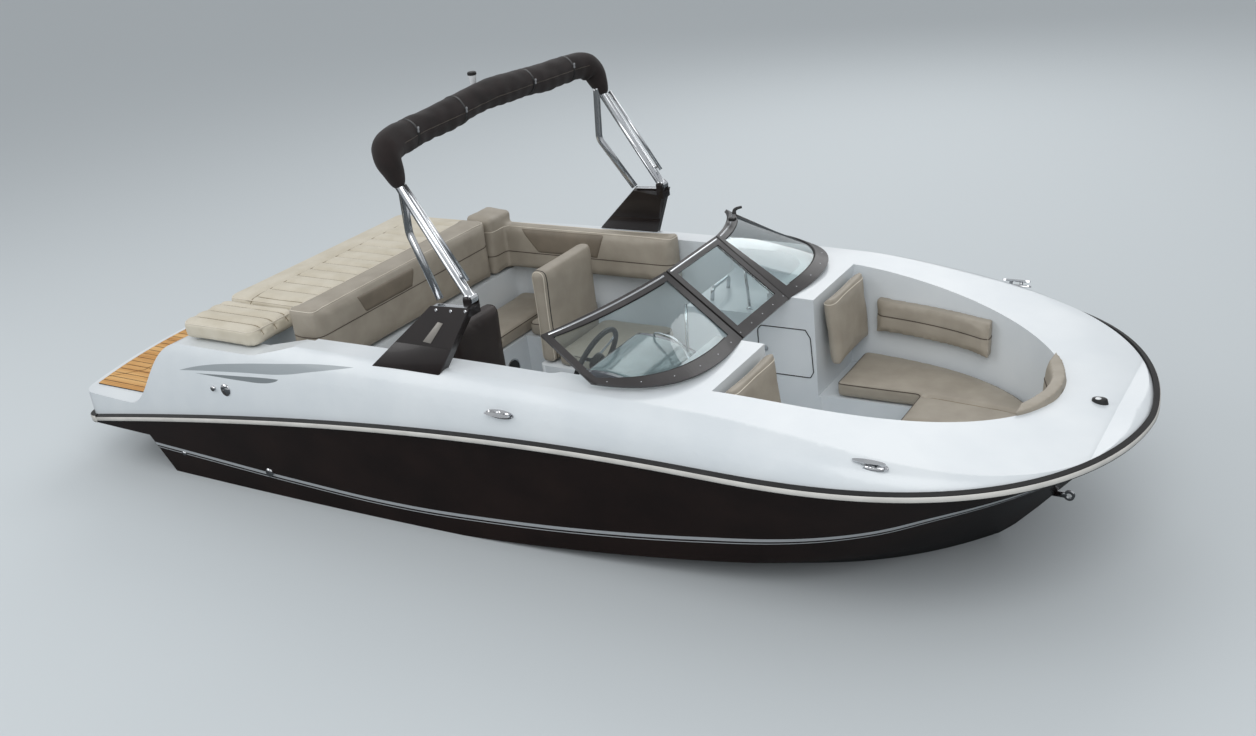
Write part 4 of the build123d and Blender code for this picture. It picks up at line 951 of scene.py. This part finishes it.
@dataclass(frozen=True)
class Cushion:
    """One upholstered piece: stuffed cover, sewn lines, welts and stitches.

    Attributes:
        node: CAD node it stands for.
        finish: Finish of the cover.
        belts: Welted seams round the pad as (axis, drawn level, finish of the welt).
        lines: Sewn lines as two drawn points each, dropped onto the cover.
        patches: Sewn-on inserts as (finish, four drawn corners, direction they are laid in).
        voxel: Size in mm of the mesh that is stuffed.
        swell: How far in mm a point may move.
        shrink: How much smaller in mm the cover is before it is stuffed.
        groove: Depth and width in mm of the sewn lines.
        belt_groove: Depth and width in mm of the welted seams.
        welt: Radius in mm and sides of the welts.
        cord: Radius in mm and sides of the cords in the sewn lines.
        cord_lift: How far in mm the cords' middle stands off the cover.
        stitch_step: Distance in mm between stitches.
        pressure: Air pressure of the stuffing, for the cloth.
        fill: How full it is, from 0 to 1; not used.
    """

    node: str
    finish: str
    belts: Sequence[tuple[int, float, str]] = ()
    lines: Sequence[Sequence[Point]] = ()
    patches: Sequence[tuple[str, Sequence[Point], Point]] = ()
    voxel: float = 16.0
    swell: float = 12.0
    shrink: float = 7.0
    groove: tuple[float, float] = (17.0, 27.0)
    belt_groove: tuple[float, float] = (3.0, 9.0)
    welt: tuple[float, int] = (2.6, 8)
    cord: tuple[float, int] = (3.0, 6)
    cord_lift: float = 0.3
    stitch_step: float = 6.0
    pressure: float = 4.0
    fill: float = 0.8

    def cover(self) -> Piece:
        """The cover before stuffing: the CAD pad's shape, a little smaller, evenly meshed."""
        low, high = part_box(self.node)
        shape = cad_shape(self.node)
        middle = (Vector(low) + Vector(high)) / 2
        for vert in shape.verts:
            for k in range(3):
                half = (high[k] - low[k]) / 2
                off = (vert.co[k] - middle[k]) * (half - self.shrink * MM) / half
                vert.co[k] = middle[k] + off
        piece = new_object(self.node + "_cover", shape, self.finish, body_of_node(self.node), 180)
        modify(piece, "REMESH", mode="VOXEL", voxel_size=self.voxel * MM)
        return piece

    def blown(self, piece: Piece) -> np.ndarray:
        """Where cloth pressure takes the cover's points."""
        cloth = piece.modifiers.new("stuffing", "CLOTH")
        cloth.settings.use_pressure = True
        cloth.settings.uniform_pressure_force = self.pressure
        cloth.settings.quality = 4
        cloth.settings.effector_weights.gravity = 0.0
        scene = bpy.context.scene
        for step in range(1, CLOTH_FRAMES + 1):
            scene.frame_set(step)
        held = piece.evaluated_get(bpy.context.evaluated_depsgraph_get())
        spots = rows_of(held.to_mesh().vertices, "co")
        held.to_mesh_clear()
        piece.modifiers.remove(cloth)
        scene.frame_set(1)
        return spots

    def stuff(self, piece: Piece) -> None:
        """Fills the cover as far as swell allows, flat on the side it rests on."""
        rest = rows_of(piece.data.vertices, "co")
        after = self.blown(piece)
        move = after - rest
        far = np.linalg.norm(move, axis=1, keepdims=True)
        limit = self.swell * MM
        move *= np.tanh(far / limit) * limit / np.maximum(far, 1e-9)
        spots = rest + move
        spots[:, 2] = np.maximum(spots[:, 2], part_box(self.node)[0][2] + REST_GAP)
        piece.data.vertices.foreach_set("co", spots.reshape(-1))
        modify(piece, "SUBSURF", levels=1)

    def sew(self, piece: Piece) -> None:
        """Presses the sewn lines and seams in, and lays welts and stitches along them."""
        tree = surface_of(piece)
        sewn = [draped(spaced(placed(run), SEWN_STEP), tree, DOWN) for run in self.lines]
        sewn = [run for run in sewn if len(run) > 3]
        belts: dict[str, list[Path]] = {}
        for axis, level, key in self.belts:
            where = (level - (ORIGIN_FROM_AFT, 0, WATERLINE)[axis]) * MM
            belts.setdefault(key, []).extend(cut_loops(piece, axis, where))
        press(piece, sewn, *self.groove)
        press(piece, [loop for loops in belts.values() for loop in loops], *self.belt_groove)
        body = body_of_node(self.node)
        for key, loops in belts.items():
            if loops:
                welts = [sweep(loop, ring(*self.welt), closed=True) for loop in loops]
                new_object(f"{self.node}_welt_{key}", welts, key, body, 180)
        tree = surface_of(piece)
        for index, (key, corners, laid) in enumerate(self.patches):
            patch(f"{self.node}_insert_{index}", placed(corners), tree, Vector(laid), key, body)
        if sewn:
            runs = [draped(run, tree, DOWN, self.cord_lift) for run in sewn]
            runs = [run for run in runs if len(run) > 2]
            # The cords' dark beige also paints the shade in the sewn grooves
            cords = [sweep(run, ring(*self.cord)) for run in runs]
            new_object(self.node + "_seams", cords, "cord", body, 180)
            runs = [[spot - DOWN * self.cord[0] * MM for spot in run] for run in runs]
            REPEAT.along(self.node + "_stitches", runs, stitch(), self.stitch_step, "thread", body)

    def build(self) -> None:
        piece = self.cover()
        self.stuff(piece)
        self.sew(piece)
        piece.data.shade_smooth()
        padded(self.node)


# --------------------------------------------------------------------------- studio


@dataclass(frozen=True)
class Studio:
    """Camera at the photograph's angle, soft lights and a pale floor at the waterline.

    Attributes:
        lens: Focal length in mm on a 36 mm sensor.
        camera_at: Where the camera is, in metres.
        azimuth: Its turn from the port beam, in degrees.
        elevation: How far it looks down, in degrees.
        roll: How far it leans, in degrees.
        floor_tone: Floor as the camera sees it.
        mirror_tone: Floor as the gloss sees it, dark as open water.
        surround: Tone and strength of the light all round, then as the camera sees it.
        lamps: Soft lamps as (name, place, size in metres, watts).
        target: What the lamps point at.
    """

    lens: float = 37.593
    camera_at: Point = (4.004, -5.631, 3.589)
    azimuth: float = 33.45
    elevation: float = 23.72
    roll: float = 6.71
    floor_tone: str = "#c6cccf"
    mirror_tone: str = "#4a4f52"
    surround: tuple = (("#eef1f4", 0.66), ("#e6e8ea", 0.85))
    lamps: tuple = (("key", (5.5, -6.5, 8.5), 9.0, 500), ("fill", (-7.0, -5.0, 6.0), 7.0, 230),
                    ("back", (-1.0, 8.0, 7.0), 8.0, 260))
    target: Point = (0.2, 0, 0.6)

    def camera(self) -> None:
        """Sets the camera up."""
        data = bpy.data.cameras.new("camera")
        data.lens, data.sensor_width, data.clip_end = self.lens, 36.0, 200.0
        turn, rise, roll = (math.radians(a) for a in (self.azimuth, self.elevation, self.roll))
        ahead = Vector((-math.sin(turn) * math.cos(rise), math.cos(turn) * math.cos(rise),
                        -math.sin(rise)))
        level = ahead.cross(UP).normalized()
        right = level * math.cos(roll) + ahead.cross(level) * math.sin(roll)
        matrix = Matrix((right, -ahead.cross(right), -ahead)).transposed().to_4x4()
        matrix.translation = Vector(self.camera_at)
        holder = linked(data, "camera")
        holder.matrix_world = matrix
        bpy.context.scene.camera = holder

    def floor(self) -> None:
        """Lays the pale floor."""
        shape = bmesh.new()
        bmesh.ops.create_grid(shape, x_segments=1, y_segments=1, size=60.0)
        graph = Graph("floor_paint")
        glossy = graph.add("ShaderNodeLightPath").outputs["Is Glossy Ray"]
        graph.set(Base_Color=graph.mix(glossy, self.floor_tone, self.mirror_tone), Roughness=0.85)
        mesh = as_mesh(shape, "floor")
        mesh.materials.append(graph.material)
        linked(mesh, "floor")

    def sky(self) -> None:
        """Pale even surround, a little brighter to the camera."""
        world = bpy.data.worlds.new("surround")
        world.use_nodes = True
        tree = Tree(world.node_tree)
        mixer = tree.add("ShaderNodeMixShader",
                         {0: tree.add("ShaderNodeLightPath").outputs["Is Camera Ray"]})
        for index, (tone, strength) in enumerate(self.surround):
            shade = tree.add("ShaderNodeBackground", {"Color": tone, "Strength": strength})
            tree.feed(mixer.inputs[index + 1], shade.outputs[0])
        tree.add("ShaderNodeOutputWorld", {0: mixer.outputs[0]})
        bpy.context.scene.world = world

    def light(self, name: str, spot: Point, size: float, power: float) -> None:
        """One soft lamp aimed at the boat."""
        data = bpy.data.lights.new(name, "AREA")
        data.shape, data.size, data.energy = "DISK", size, power
        lamp = linked(data, name)
        lamp.location = spot
        aim = Vector(self.target) - Vector(spot)
        lamp.rotation_euler = aim.to_track_quat("-Z", "Y").to_euler()

    def build(self) -> None:
        """Builds the whole studio."""
        bpy.context.scene.view_settings.view_transform = "Standard"
        self.camera()
        self.floor()
        self.sky()
        for lamp in self.lamps:
            self.light(*lamp)


# --------------------------------------------------------------------------- boat


@dataclass(frozen=True)
class Skins:
    """CAD pieces that keep their own shape, smooth shaded in one finish.

    Attributes:
        finish: Their finish.
        angle: Edges sharper than this many degrees stay sharp.
        nodes: CAD nodes.
    """

    finish: str
    angle: float
    nodes: tuple[str, ...]

    def build(self) -> None:
        """Builds the pieces."""
        for node in self.nodes:
            shape = cad_shape(node)
            if node in LARGE:
                bmesh.ops.remove_doubles(shape, verts=shape.verts, dist=MERGE * MM)
                bmesh.ops.dissolve_degenerate(shape, dist=THINNEST * MM, edges=shape.edges)
            piece = new_object(node + "_skin", shape, self.finish, body_of_node(node), self.angle)
            if node in LARGE:
                even_shade(piece, self.angle)
            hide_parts(node)


@dataclass(frozen=True)
class Turned:
    """Like small turned pieces at one or more places.

    Attributes:
        name: Piece name.
        finish: Finish.
        rows: Profile as (radius, distance along the axis) in mm.
        spots: Drawn places.
        axis: Direction they point in.
        sides: Faces round them.
        angle: Edges sharper than this many degrees stay sharp.
        body: CAD body.
        node: CAD node they stand for, if any.
    """

    name: str
    finish: str
    rows: Section
    spots: Sequence[Point]
    axis: Point = (0, 0, 1)
    sides: int = 28
    angle: float = 40.0
    body: str = "boat"
    node: str = ""

    def build(self) -> None:
        """Builds the piece."""
        shapes = [lathe(self.rows, spot, Vector(self.axis), self.sides)
                  for spot in placed(self.spots)]
        piece = new_object(self.name, shapes, self.finish, self.body, self.angle)
        if self.node:
            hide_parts(self.node)


@dataclass(frozen=True)
class RubRailBead:
    """Pale bead pressed into the bumper moulding's outer face.

    Attributes:
        node: CAD node of the moulding.
        inset: Distance in mm from the moulding's rim to the bead.
        proud: How far in mm the bead stands out, and how wide its slope is.
        inner: Ends in metres of the line amidships that outward is measured from.
    """

    node: str = "rub_rail"
    inset: float = 3.0
    proud: float = 3.5
    inner: tuple[float, float] = (-2.4, 1.6)

    def faces_out(self, face: bmesh.types.BMFace) -> bool:
        """Whether a face is on the moulding's outer side."""
        middle = face.calc_center_median()
        low, high = self.inner
        outward = (middle - Vector((min(max(middle.x, low), high), 0, middle.z))).normalized()
        return abs(face.normal.z) < 0.3 and face.normal.dot(outward) > 0.35

    def build(self) -> None:
        """Builds the bead."""
        shape = cad_shape(self.node)
        hidden = [f for f in shape.faces if not self.faces_out(f)]
        bmesh.ops.delete(shape, geom=hidden, context="FACES")
        for thickness, depth in ((self.inset, 0.0), (self.proud, self.proud)):
            rim = bmesh.ops.inset_region(shape, faces=shape.faces[:], thickness=thickness * MM,
                                         depth=depth * MM, use_even_offset=True,
                                         use_boundary=True)["faces"]
            if not depth:
                bmesh.ops.delete(shape, geom=rim, context="FACES")
        new_object("rub_rail_bead", shape, "insert", "boat", 50)


@dataclass(frozen=True)
class PlatformDecking:
    """Planks on the swim platform's bed of black caulk, sizes in mm.

    Attributes:
        node: CAD node of the bed.
        split: Level that parts the bed's underside from its top.
        levels: Underside and top of the planks.
        level: Middle of the uncut planks.
        first: Drawn place along the boat of the planks' middle.
        pitch: Distance between planks.
        rows: Number of planks.
        plank: Length, width and thickness of an uncut plank.
    """

    node: str = "platform_pads"
    split: float = 833.0
    levels: tuple[float, float] = (834.5, 838.4)
    level: float = 836.3
    first: float = 180.0
    pitch: float = 57.0
    rows: int = 36
    plank: Point = (760.0, 50.0, 2.6)

    def build(self) -> None:
        """Cuts the planks to the bed's outline."""
        outline = cad_shape(self.node)
        middle = place(0, 0, self.split).z
        for vert in outline.verts:
            vert.co.z = place(0, 0, self.levels[vert.co.z > middle]).z
        start = place(self.first, -self.pitch * (self.rows - 1) / 2, self.level)
        values = {"Start": tuple(start), "Pitch": self.pitch * MM, "Count": self.rows,
                  "Plank": tuple(Vector(self.plank) * MM)}
        PLANKS.work("platform_planks", outline, values, "teak", "boat")


@dataclass(frozen=True)
class Wheel:
    """Steering wheel: wrapped rim, three brushed spokes and a hub with a plain cap."""

    node: str = "steering_wheel"
    centre: Point = (3560, -560, 1255)
    tilt: float = 25.0
    radius: float = 180.0

    def build(self) -> None:
        """Builds rim, spokes and hub."""
        turn = math.radians(self.tilt)
        axis = Vector((-math.cos(turn), 0, math.sin(turn)))
        down = axis.cross(PORT)
        hub = place(*self.centre)

        def at(angle: float, radius: float, lift: float = 0.0) -> Vector:
            """A point of the wheel's plane."""
            along = PORT * math.cos(angle) + down * math.sin(angle)
            return hub + along * radius * MM + axis * lift * MM

        def circle(count: int, radius: float) -> Path:
            """Points round the wheel's plane."""
            return [at(2 * math.pi * i / count, radius) for i in range(count)]

        wrap = sweep(circle(72, self.radius), ring(14, 16), closed=True, up=axis)
        rim = new_object("wheel_rim", wrap, "black", "wheel", 60)
        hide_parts(self.node)
        spokes = []
        for degrees in (90, 210, 330):
            spoke = ((30, 2), (80, 0), (130, -1), (self.radius - 6, 0))
            path = [at(math.radians(degrees), r, lift) for r, lift in spoke]
            spokes.append(sweep(smooth_path(path, 5), soft_bar(26, 6, 2.4), up=axis,
                                swell=lambda a, _: 1.15 - 0.35 * math.sin(math.pi * a)))
        new_object("wheel_spokes", spokes, "steel", "wheel", 40)
        for name, rows, key in (
                ("wheel_hub", ((42, -30), (46, -22), (46, 2), (40, 8), (30, 11), (0, 12)), "black"),
                ("wheel_cap", ((29, 10.5), (29, 12), (26, 13), (0, 13.6)), "grey")):
            new_object(name, lathe(rows, hub, axis), key, "wheel", 40)
        run = circle(60, self.radius - 13.4)
        REPEAT.along("wheel_stitches", [run], stitch(), 7.0, "thread", "wheel")


@dataclass(frozen=True)
class Dash:
    """Glossy top of the instrument hood, pale with painted sky reflection, and the grab rail beside
    it.
    """

    skin: str = "helm_dash_skin"
    top: tuple = ((3672, -330, 1400), (4020, -330, 1400), (4020, -790, 1400), (3672, -790, 1400))
    rail: tuple = ((3786, -327, 1300), (3800, -345, 1345), (3880, -375, 1358), (3966, -410, 1350),
                   (4060, -480, 1315), (4085, -505, 1255))

    def build(self) -> None:
        """Lays the top on the hood and bends the rail."""
        tree = surface_of(bpy.data.objects[self.skin])
        # The top's pale blue-grey is painted sky reflection
        patch("hood_top", placed(self.top), tree, DOWN, "dash_top", "boat")
        rail = sweep(smooth_path(placed(self.rail), 6), ring(6, 10))
        new_object("hood_rail", rail, "steel", "boat", 60)


@dataclass(frozen=True)
class Screen:
    """What the windscreen's frames carry: caps along the heads, seals, screws, hook and catch.

    Attributes:
        base: Drawn control points of a side pane's foot.
        top: Drawn control points of its head.
        screw_line: Height of the screws as a share of the pane.
        head_line: Height of the caps.
        seal_lines: Heights of the seals.
    """

    base: tuple = ((3870, 1060, 1392), (4280, 1030, 1375), (4360, 750, 1365), (4266, 278, 1341))
    top: tuple = ((3555, 979, 1565), (3690, 800, 1600), (3800, 500, 1635), (3857, 278, 1661))
    screw_line: float = 0.06
    head_line: float = 0.965
    seal_lines: tuple[float, float] = (0.135, 0.905)

    def row(self, share: float, side: int, lift: float, count: int = 24) -> Path:
        """Points of one level of a side pane, lift mm off its middle."""
        normal = self.leans(side) * lift * MM
        result = []
        for i in range(count + 1):
            t = i / count
            weights = ((1 - t) ** 3, 3 * t * (1 - t) ** 2, 3 * t * t * (1 - t), t ** 3)
            low, high = (
                sum((place(x, side * y, z) * w for w, (x, y, z) in zip(weights, line)), Vector())
                for line in (self.base, self.top))
            result.append(low.lerp(high, share) + normal)
        return result

    @staticmethod
    def leans(side: int) -> Vector:
        """Outward direction of a side pane, or of the middle one for side 0."""
        return Vector((0.5, side * 0.45, 0.75)) if side else Vector((0.616, 0, 0.787))

    def door_row(self, share: float, lift: float) -> Path:
        """Points of one level of the middle pane."""
        normal = self.leans(0) * lift * MM
        return [place(4266 - 409 * share, y, 1341 + 320 * share) + normal
                for y in (-255, -128, 0, 128, 255)]

    def build(self) -> None:
        """Builds the pieces."""
        bar = soft_bar(9, 3, 1.2)
        caps = [sweep(self.row(self.head_line, side, 10.6)[1:-1], bar, up=self.leans(side))
                for side in (-1, 1)]
        new_object("screen_caps", caps, "tube", "boat", 40)
        cap = sweep(self.door_row(self.head_line, 10.6), bar, up=self.leans(0))
        new_object("screen_door_cap", cap, "tube", "screen_door", 40)
        screws = [self.row(self.screw_line, side, 10.2)[2:-2] for side in (-1, 1)]
        REPEAT.along("screen_screws", screws, screw_head(4), 150, "steel", "boat")
        REPEAT.along("screen_door_screws", [self.door_row(self.screw_line, 10.2)], screw_head(4),
                     120, "steel", "screen_door")
        seals = [sweep(self.row(share, side, 5.0)[2:-2], ring(3, 6))
                 for side in (-1, 1) for share in self.seal_lines]
        new_object("screen_seals", seals, "rubber", "boat", 60)
        horn = placed([(3702, 812, 1608), (3700, 818, 1626), (3710, 832, 1636), (3732, 852, 1640)])
        hook = sweep(smooth_path(horn, 5), soft_bar(24, 15, 5), swell=lambda a, _: 1.0 - 0.4 * a)
        catch = block((3762, 618, 1632), (3800, 650, 1650), 4)
        new_object("screen_hook", [hook, catch], "black", "boat", 50)


@dataclass(frozen=True)
class TowerTrim:
    """What is fixed to the tower's plates: feet, badges, caps and bolts.

    Attributes:
        lean: How far the plates lean inboard, in degrees.
        hinge: Drawn half breadth and height that the lean starts from.
        badge: Outline of the plain badge as (drawn place, height on the plate).
        foot: Outline of the foot.
        cap: Ends of the cap along its upper edge.
        bolts: Places of the bolts.
    """

    lean: float = 18.0
    hinge: tuple[float, float] = (1100.0, 1340.0)
    badge: tuple = ((2981, 1589), (3014, 1585), (2941, 1482), (2890, 1486))
    foot: tuple = ((2566, 1336), (2997, 1336), (3066, 1466), (2714, 1466))
    cap: tuple = ((2946, 1666), (3156, 1675.5))
    bolts: tuple = ((2968, 1645), (3060, 1648), (3150, 1655))

    def on_plate(self, side: int, x: float, z: float, lift: float) -> Vector:
        """A drawn point of a leaning plate, lift mm outboard of its middle."""
        turn = math.radians(self.lean)
        half, foot = self.hinge
        up = Vector((0, -side * math.sin(turn), math.cos(turn)))
        out = Vector((0, side * math.cos(turn), math.sin(turn)))
        return (place(x, side * half, foot) + up * (z - foot) / math.cos(turn) * MM
                + out * lift * MM)

    def build(self) -> None:
        """Builds the pieces of both sides."""
        badges, feet, caps = [], [], []
        for side, word in ((-1, "starboard"), (1, "port")):
            out = self.on_plate(side, 0, 1340, 1) - self.on_plate(side, 0, 1340, 0)
            badge = [self.on_plate(side, x, z, 26) for x, z in self.badge]
            badges.append(plate(badge, out * 4, 1.2))
            foot = [self.on_plate(side, x, z, 0) for x, z in self.foot]
            feet.append(plate(foot, out * 57, 1.5))
            edge = [self.on_plate(side, x, z, 6) for x, z in self.cap]
            caps.append(sweep(edge, soft_bar(36, 5, 1.5), up=UP))
            heads = [lathe(((9, -1), (9, 2.5), (7, 4), (0, 4.6)),
                           self.on_plate(side, x, z, 26.5), out.normalized(), 6)
                     for x, z in self.bolts]
            new_object("tower_bolts_" + word, heads, "steel", "boat", 30)
        for name, shapes, key in (("badges", badges, "badge"), ("feet", feet, "gloss_black"),
                                  ("caps", caps, "tube")):
            new_object("tower_" + name, shapes, key, "boat", 40)


@dataclass(frozen=True)
class Boot:
    """Canvas boot round the folded sun top: sagging, lumpy, drawn to a point at both ends.

    Attributes:
        node: CAD node it stands for.
        half: Drawn middle line from the port end to the centreline.
        radius: Radius in mm.
        straps: Places of the straps across the boat.
    """

    node: str = "top_cover"
    half: tuple = ((2812, 953, 2256), (2787, 951, 2330), (2756, 942, 2400), (2724, 868, 2444),
                   (2704, 700, 2453), (2699, 480, 2460), (2696, 240, 2476), (2694, 0, 2488))
    radius: float = 82.0
    straps: tuple = (-717, -319, 319, 717)

    def swell(self, share: float, turn: float) -> float:
        """Size of the section along the boot and round it."""
        angle = 2 * math.pi * turn
        taper = 0.3 + 0.7 * min(1.0, min(share, 1 - share) / 0.085) ** 0.6
        under = max(0.0, -math.sin(angle))
        sag = 0.05 * under * (1 + math.sin(share * 31))
        lumps = 0.05 * noise.noise(Vector((share * 26, math.cos(angle) * 1.3,
                                           math.sin(angle) * 1.3)))
        folds = 0.02 * math.sin(share * 150 + turn * 9) * under
        return taper * (0.93 + sag + lumps + folds)

    def build(self) -> None:
        """Builds the boot with straps, toggles and a sewn seam."""
        line = [*self.half, *((x, -y, z) for x, y, z in reversed(self.half[:-1]))]
        path = spaced(smooth_path(placed(line), 14), SEWN_STEP)
        shape = sweep(path, ring(self.radius, 48), swell=self.swell)
        boot = new_object("sun_top_boot", shape, "canvas", "tower", 70)
        padded(self.node)
        straps = [sweep(loop, soft_bar(3, 16, 1.2), closed=True, up=PORT)
                  for y in self.straps for loop in cut_loops(boot, 1, y * MM)]
        new_object("boot_straps", straps, "black", "tower", 60)
        rows = ((0, -16), (5, -14), (6, -8), (4, 0), (6, 8), (5, 14), (0, 16))
        toggles = [lathe(rows, place(2785, y, 2478), Vector((0.1, 0, 1)).normalized(), 12)
                   for y in self.straps]
        new_object("boot_toggles", toggles, "grey", "tower", 60)
        seam = placed([(2900, y, 2448 + 0.03 * (850 - abs(y))) for y in (-850, 0, 850)])
        run = draped(spaced(seam, SEAM_STEP), surface_of(boot), Vector((-1, 0, 0)), 0.2)
        REPEAT.along("boot_stitches", [run], stitch(), 6.5, "thread", "tower")


@dataclass(frozen=True)
class Cabin:
    """Speakers, the locker door's seam and two latches.

    Attributes:
        speakers: (drawn place, direction, radius) of each speaker.
        door: Outline of the locker door.
        latches: (name, low corner, high corner, rounding) of each latch.
    """

    speakers: tuple = (((3420, -959, 700), (0, 1, 0), 78), ((3420, 959, 700), (0, -1, 0), 78),
                       ((2329, -430, 660), (1, 0, 0), 70), ((2329, 300, 660), (1, 0, 0), 70))
    door: tuple = ((4345, 298.6, 1165), (4372, 298.6, 1120), (4380, 298.6, 920), (4360, 298.6, 885),
                   (4080, 298.6, 885), (4060, 298.6, 910), (4060, 298.6, 1140), (4082, 298.6, 1165))
    latches: tuple = (("pad_latch", (1652, -760, 1392), (1662, -716, 1412), 4),
                      ("platform_latch", (60, -455, 838.6), (110, -395, 842), 1.6))

    def build(self) -> None:
        """Builds the pieces."""
        rims, grilles = [], []
        for spot, axis, r in self.speakers:
            rim = ((r, -1), (r, 3), (r - 5, 6), (r - 9, 4), (r - 9, 1))
            grille = ((r - 9, 0.5), (r - 10, 2.5), (r * 0.3, 1.2), (0, 3))
            for shapes, rows in ((rims, rim), (grilles, grille)):
                shapes.append(lathe(rows, place(*spot), Vector(axis), 36))
        new_object("speaker_rims", rims, "tube", "boat", 40)
        new_object("speaker_grilles", grilles, "black", "boat", 40)
        seam = sweep(spaced(placed(self.door), SEAM_STEP, closed=True), soft_bar(5, 4, 1.4),
                     closed=True, up=PORT)
        new_object("locker_seam", seam, "rubber", "boat", 60)
        for name, *corners in self.latches:
            new_object(name, block(*corners), "black", "boat", 50)


SKINS = (
    Skins("hull", 30, ("hull",)),
    Skins("deck", 26, ("deck",)),
    Skins("deck", 30, ("seat_bases",)),
    Skins("white", 30, ("engine_hatch",)),
    Skins("tube", 30, ("helm_pedestal",)),
    Skins("tube", 45, ("tower_frame",)),
    Skins("black", 30, ("steering_column", "throttle")),
    Skins("rubber", 30, ("rub_rail",)),
    Skins("caulk", 30, ("platform_pads",)),
    Skins("dash", 30, ("helm_dash",)),
    Skins("charcoal", 30, ("screen_frame_port", "screen_frame_starboard", "screen_door_frame")),
    Skins("glass", 30, ("screen_glass_port", "screen_glass_starboard", "screen_door_glass")),
    Skins("gloss_black", 30, ("tower_bases",)),
    Skins("steel", 40, ("screen_stays", "cleats", "bow_eye", "side_fittings", "grab_handle")),
    Skins("black", 40, ("bow_light",)),
    Skins("drive", 30, ("engine_block", "transom_plate", "steering_ring", "drive_leg")),
    Skins("blade", 30, ("propeller",)),
)

GAUGES = [(3641, y, 1262) for y in (-640, -560, -480)]
MAST_LIGHT = [(2600, 0, 2532)]
TURNED = (
    Turned("gauge_bezels", "steel", ((29, -1), (30, 3), (27, 5), (25, 3), (25, 1)), GAUGES,
           (-1, 0, 0)),
    Turned("gauge_dials", "black", ((25, 0.5), (25, 1.5), (0, 1.8)), GAUGES, (-1, 0, 0)),
    Turned("stay_feet", "steel", ((20, 0), (20, 4), (12, 8), (8, 16)),
           [(3990, -360, 1225), (3990, 360, 1225)], sides=20),
    Turned("bow_light_lens", "white", ((20, -2), (21, 6), (17, 14), (9, 19), (0, 20)),
           [(5930, 0, 1118)], angle=50),
    Turned("trough_drain", "amber", ((26, 0), (26, 3), (18, 5), (14, 3), (0, 3)),
           [(1377, -850, 960.5)], sides=24),
    Turned("locker_catch", "steel", ((17, -1), (17, 3), (12, 5), (0, 5.5)), [(4100, 299, 1030)],
           (0, -1, 0)),
    Turned("light_cone", "white", ((9, -46), (9, -4), (15, 0), (17, 6), (21, 46), (22, 52)),
           MAST_LIGHT, sides=32, body="tower", node="tower_light"),
    Turned("light_cap", "black", ((22, 52), (25, 54), (25, 66), (21, 70), (0, 71)), MAST_LIGHT,
           sides=32, body="tower"),
)

CHANNELS = [[(1225, y, 1450), (1700, y, 1450)] for y in range(-610, 930, 116)]
ENDS = [[(x, -680, 1450), (x, 950, 1450)] for x in (1205, 1712)]
FILLER_CHANNELS = [[(1075, y, 1450), (1630, y, 1450)] for y in (-980, -880, -785)]
BENCH_LINES = [[(2020, y, 960), (2320, y, 960)] for y in (-230, 240)]
BOW_LINES = [[(x, y, 900), (5600, end, 900)]
             for x, y, end in ((5000, 0, 0), (5010, 290, 240), (5010, -290, -240))]
AFT_INSERT = ((1990, -566, 1443), (1990, -56, 1443), (1990, -100, 1336), (1990, -518, 1336))
PORT_INSERT = ((2130, 848, 1392), (2760, 848, 1392), (2700, 848, 1244), (2250, 848, 1244))
CUSHIONS = (
    Cushion("sunpad_cushion", "beige", ((2, 1382, "pale"),), [*CHANNELS, *ENDS]),
    Cushion("sunpad_filler", "beige", ((2, 1382, "pale"),), FILLER_CHANNELS),
    Cushion("aft_backrest", "greige", ((2, 1328, "seam"), (2, 1478, "pale")),
            patches=(("taupe", AFT_INSERT, (-1, 0, 0)),)),
    Cushion("port_backrest", "greige", ((2, 1236, "seam"), (2, 1400, "pale")),
            patches=(("taupe", PORT_INSERT, (0, 1, 0)),)),
    Cushion("bench_cushion", "greige", ((2, 900, "seam"),), BENCH_LINES),
    Cushion("lounge_cushion", "greige", ((2, 900, "seam"),)),
    Cushion("companion_cushion", "greige", ((2, 860, "seam"),)),
    Cushion("companion_back", "greige", ((1, 226, "pale"), (1, 244, "rubber"))),
    Cushion("helm_cushion", "dark", ((2, 975, "dark"),)),
    Cushion("helm_back", "dark", ((1, -760, "dark"), (1, -360, "dark"))),
    Cushion("bow_cushions", "greige", ((2, 862, "seam"),), BOW_LINES),
    Cushion("bow_backrests", "greige", ((2, 1300, "pale"),)),
    Cushion("bow_bolsters", "greige", ((2, 1100, "seam"),), swell=8.0, shrink=4.0, voxel=12.0),
)


def main() -> None:
    """Builds the boat and the studio, and reports."""
    logging.basicConfig(level=logging.INFO)
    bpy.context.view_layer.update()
    for builder in (Studio(), *SKINS, RubRailBead(), PlatformDecking(), Wheel(), Dash(), Screen(),
                    TowerTrim(), Boot(), Cabin(), *TURNED, *CUSHIONS):
        builder.build()
        LOG.info("built %s", type(builder).__name__)


if __name__ == "__main__":
    main()
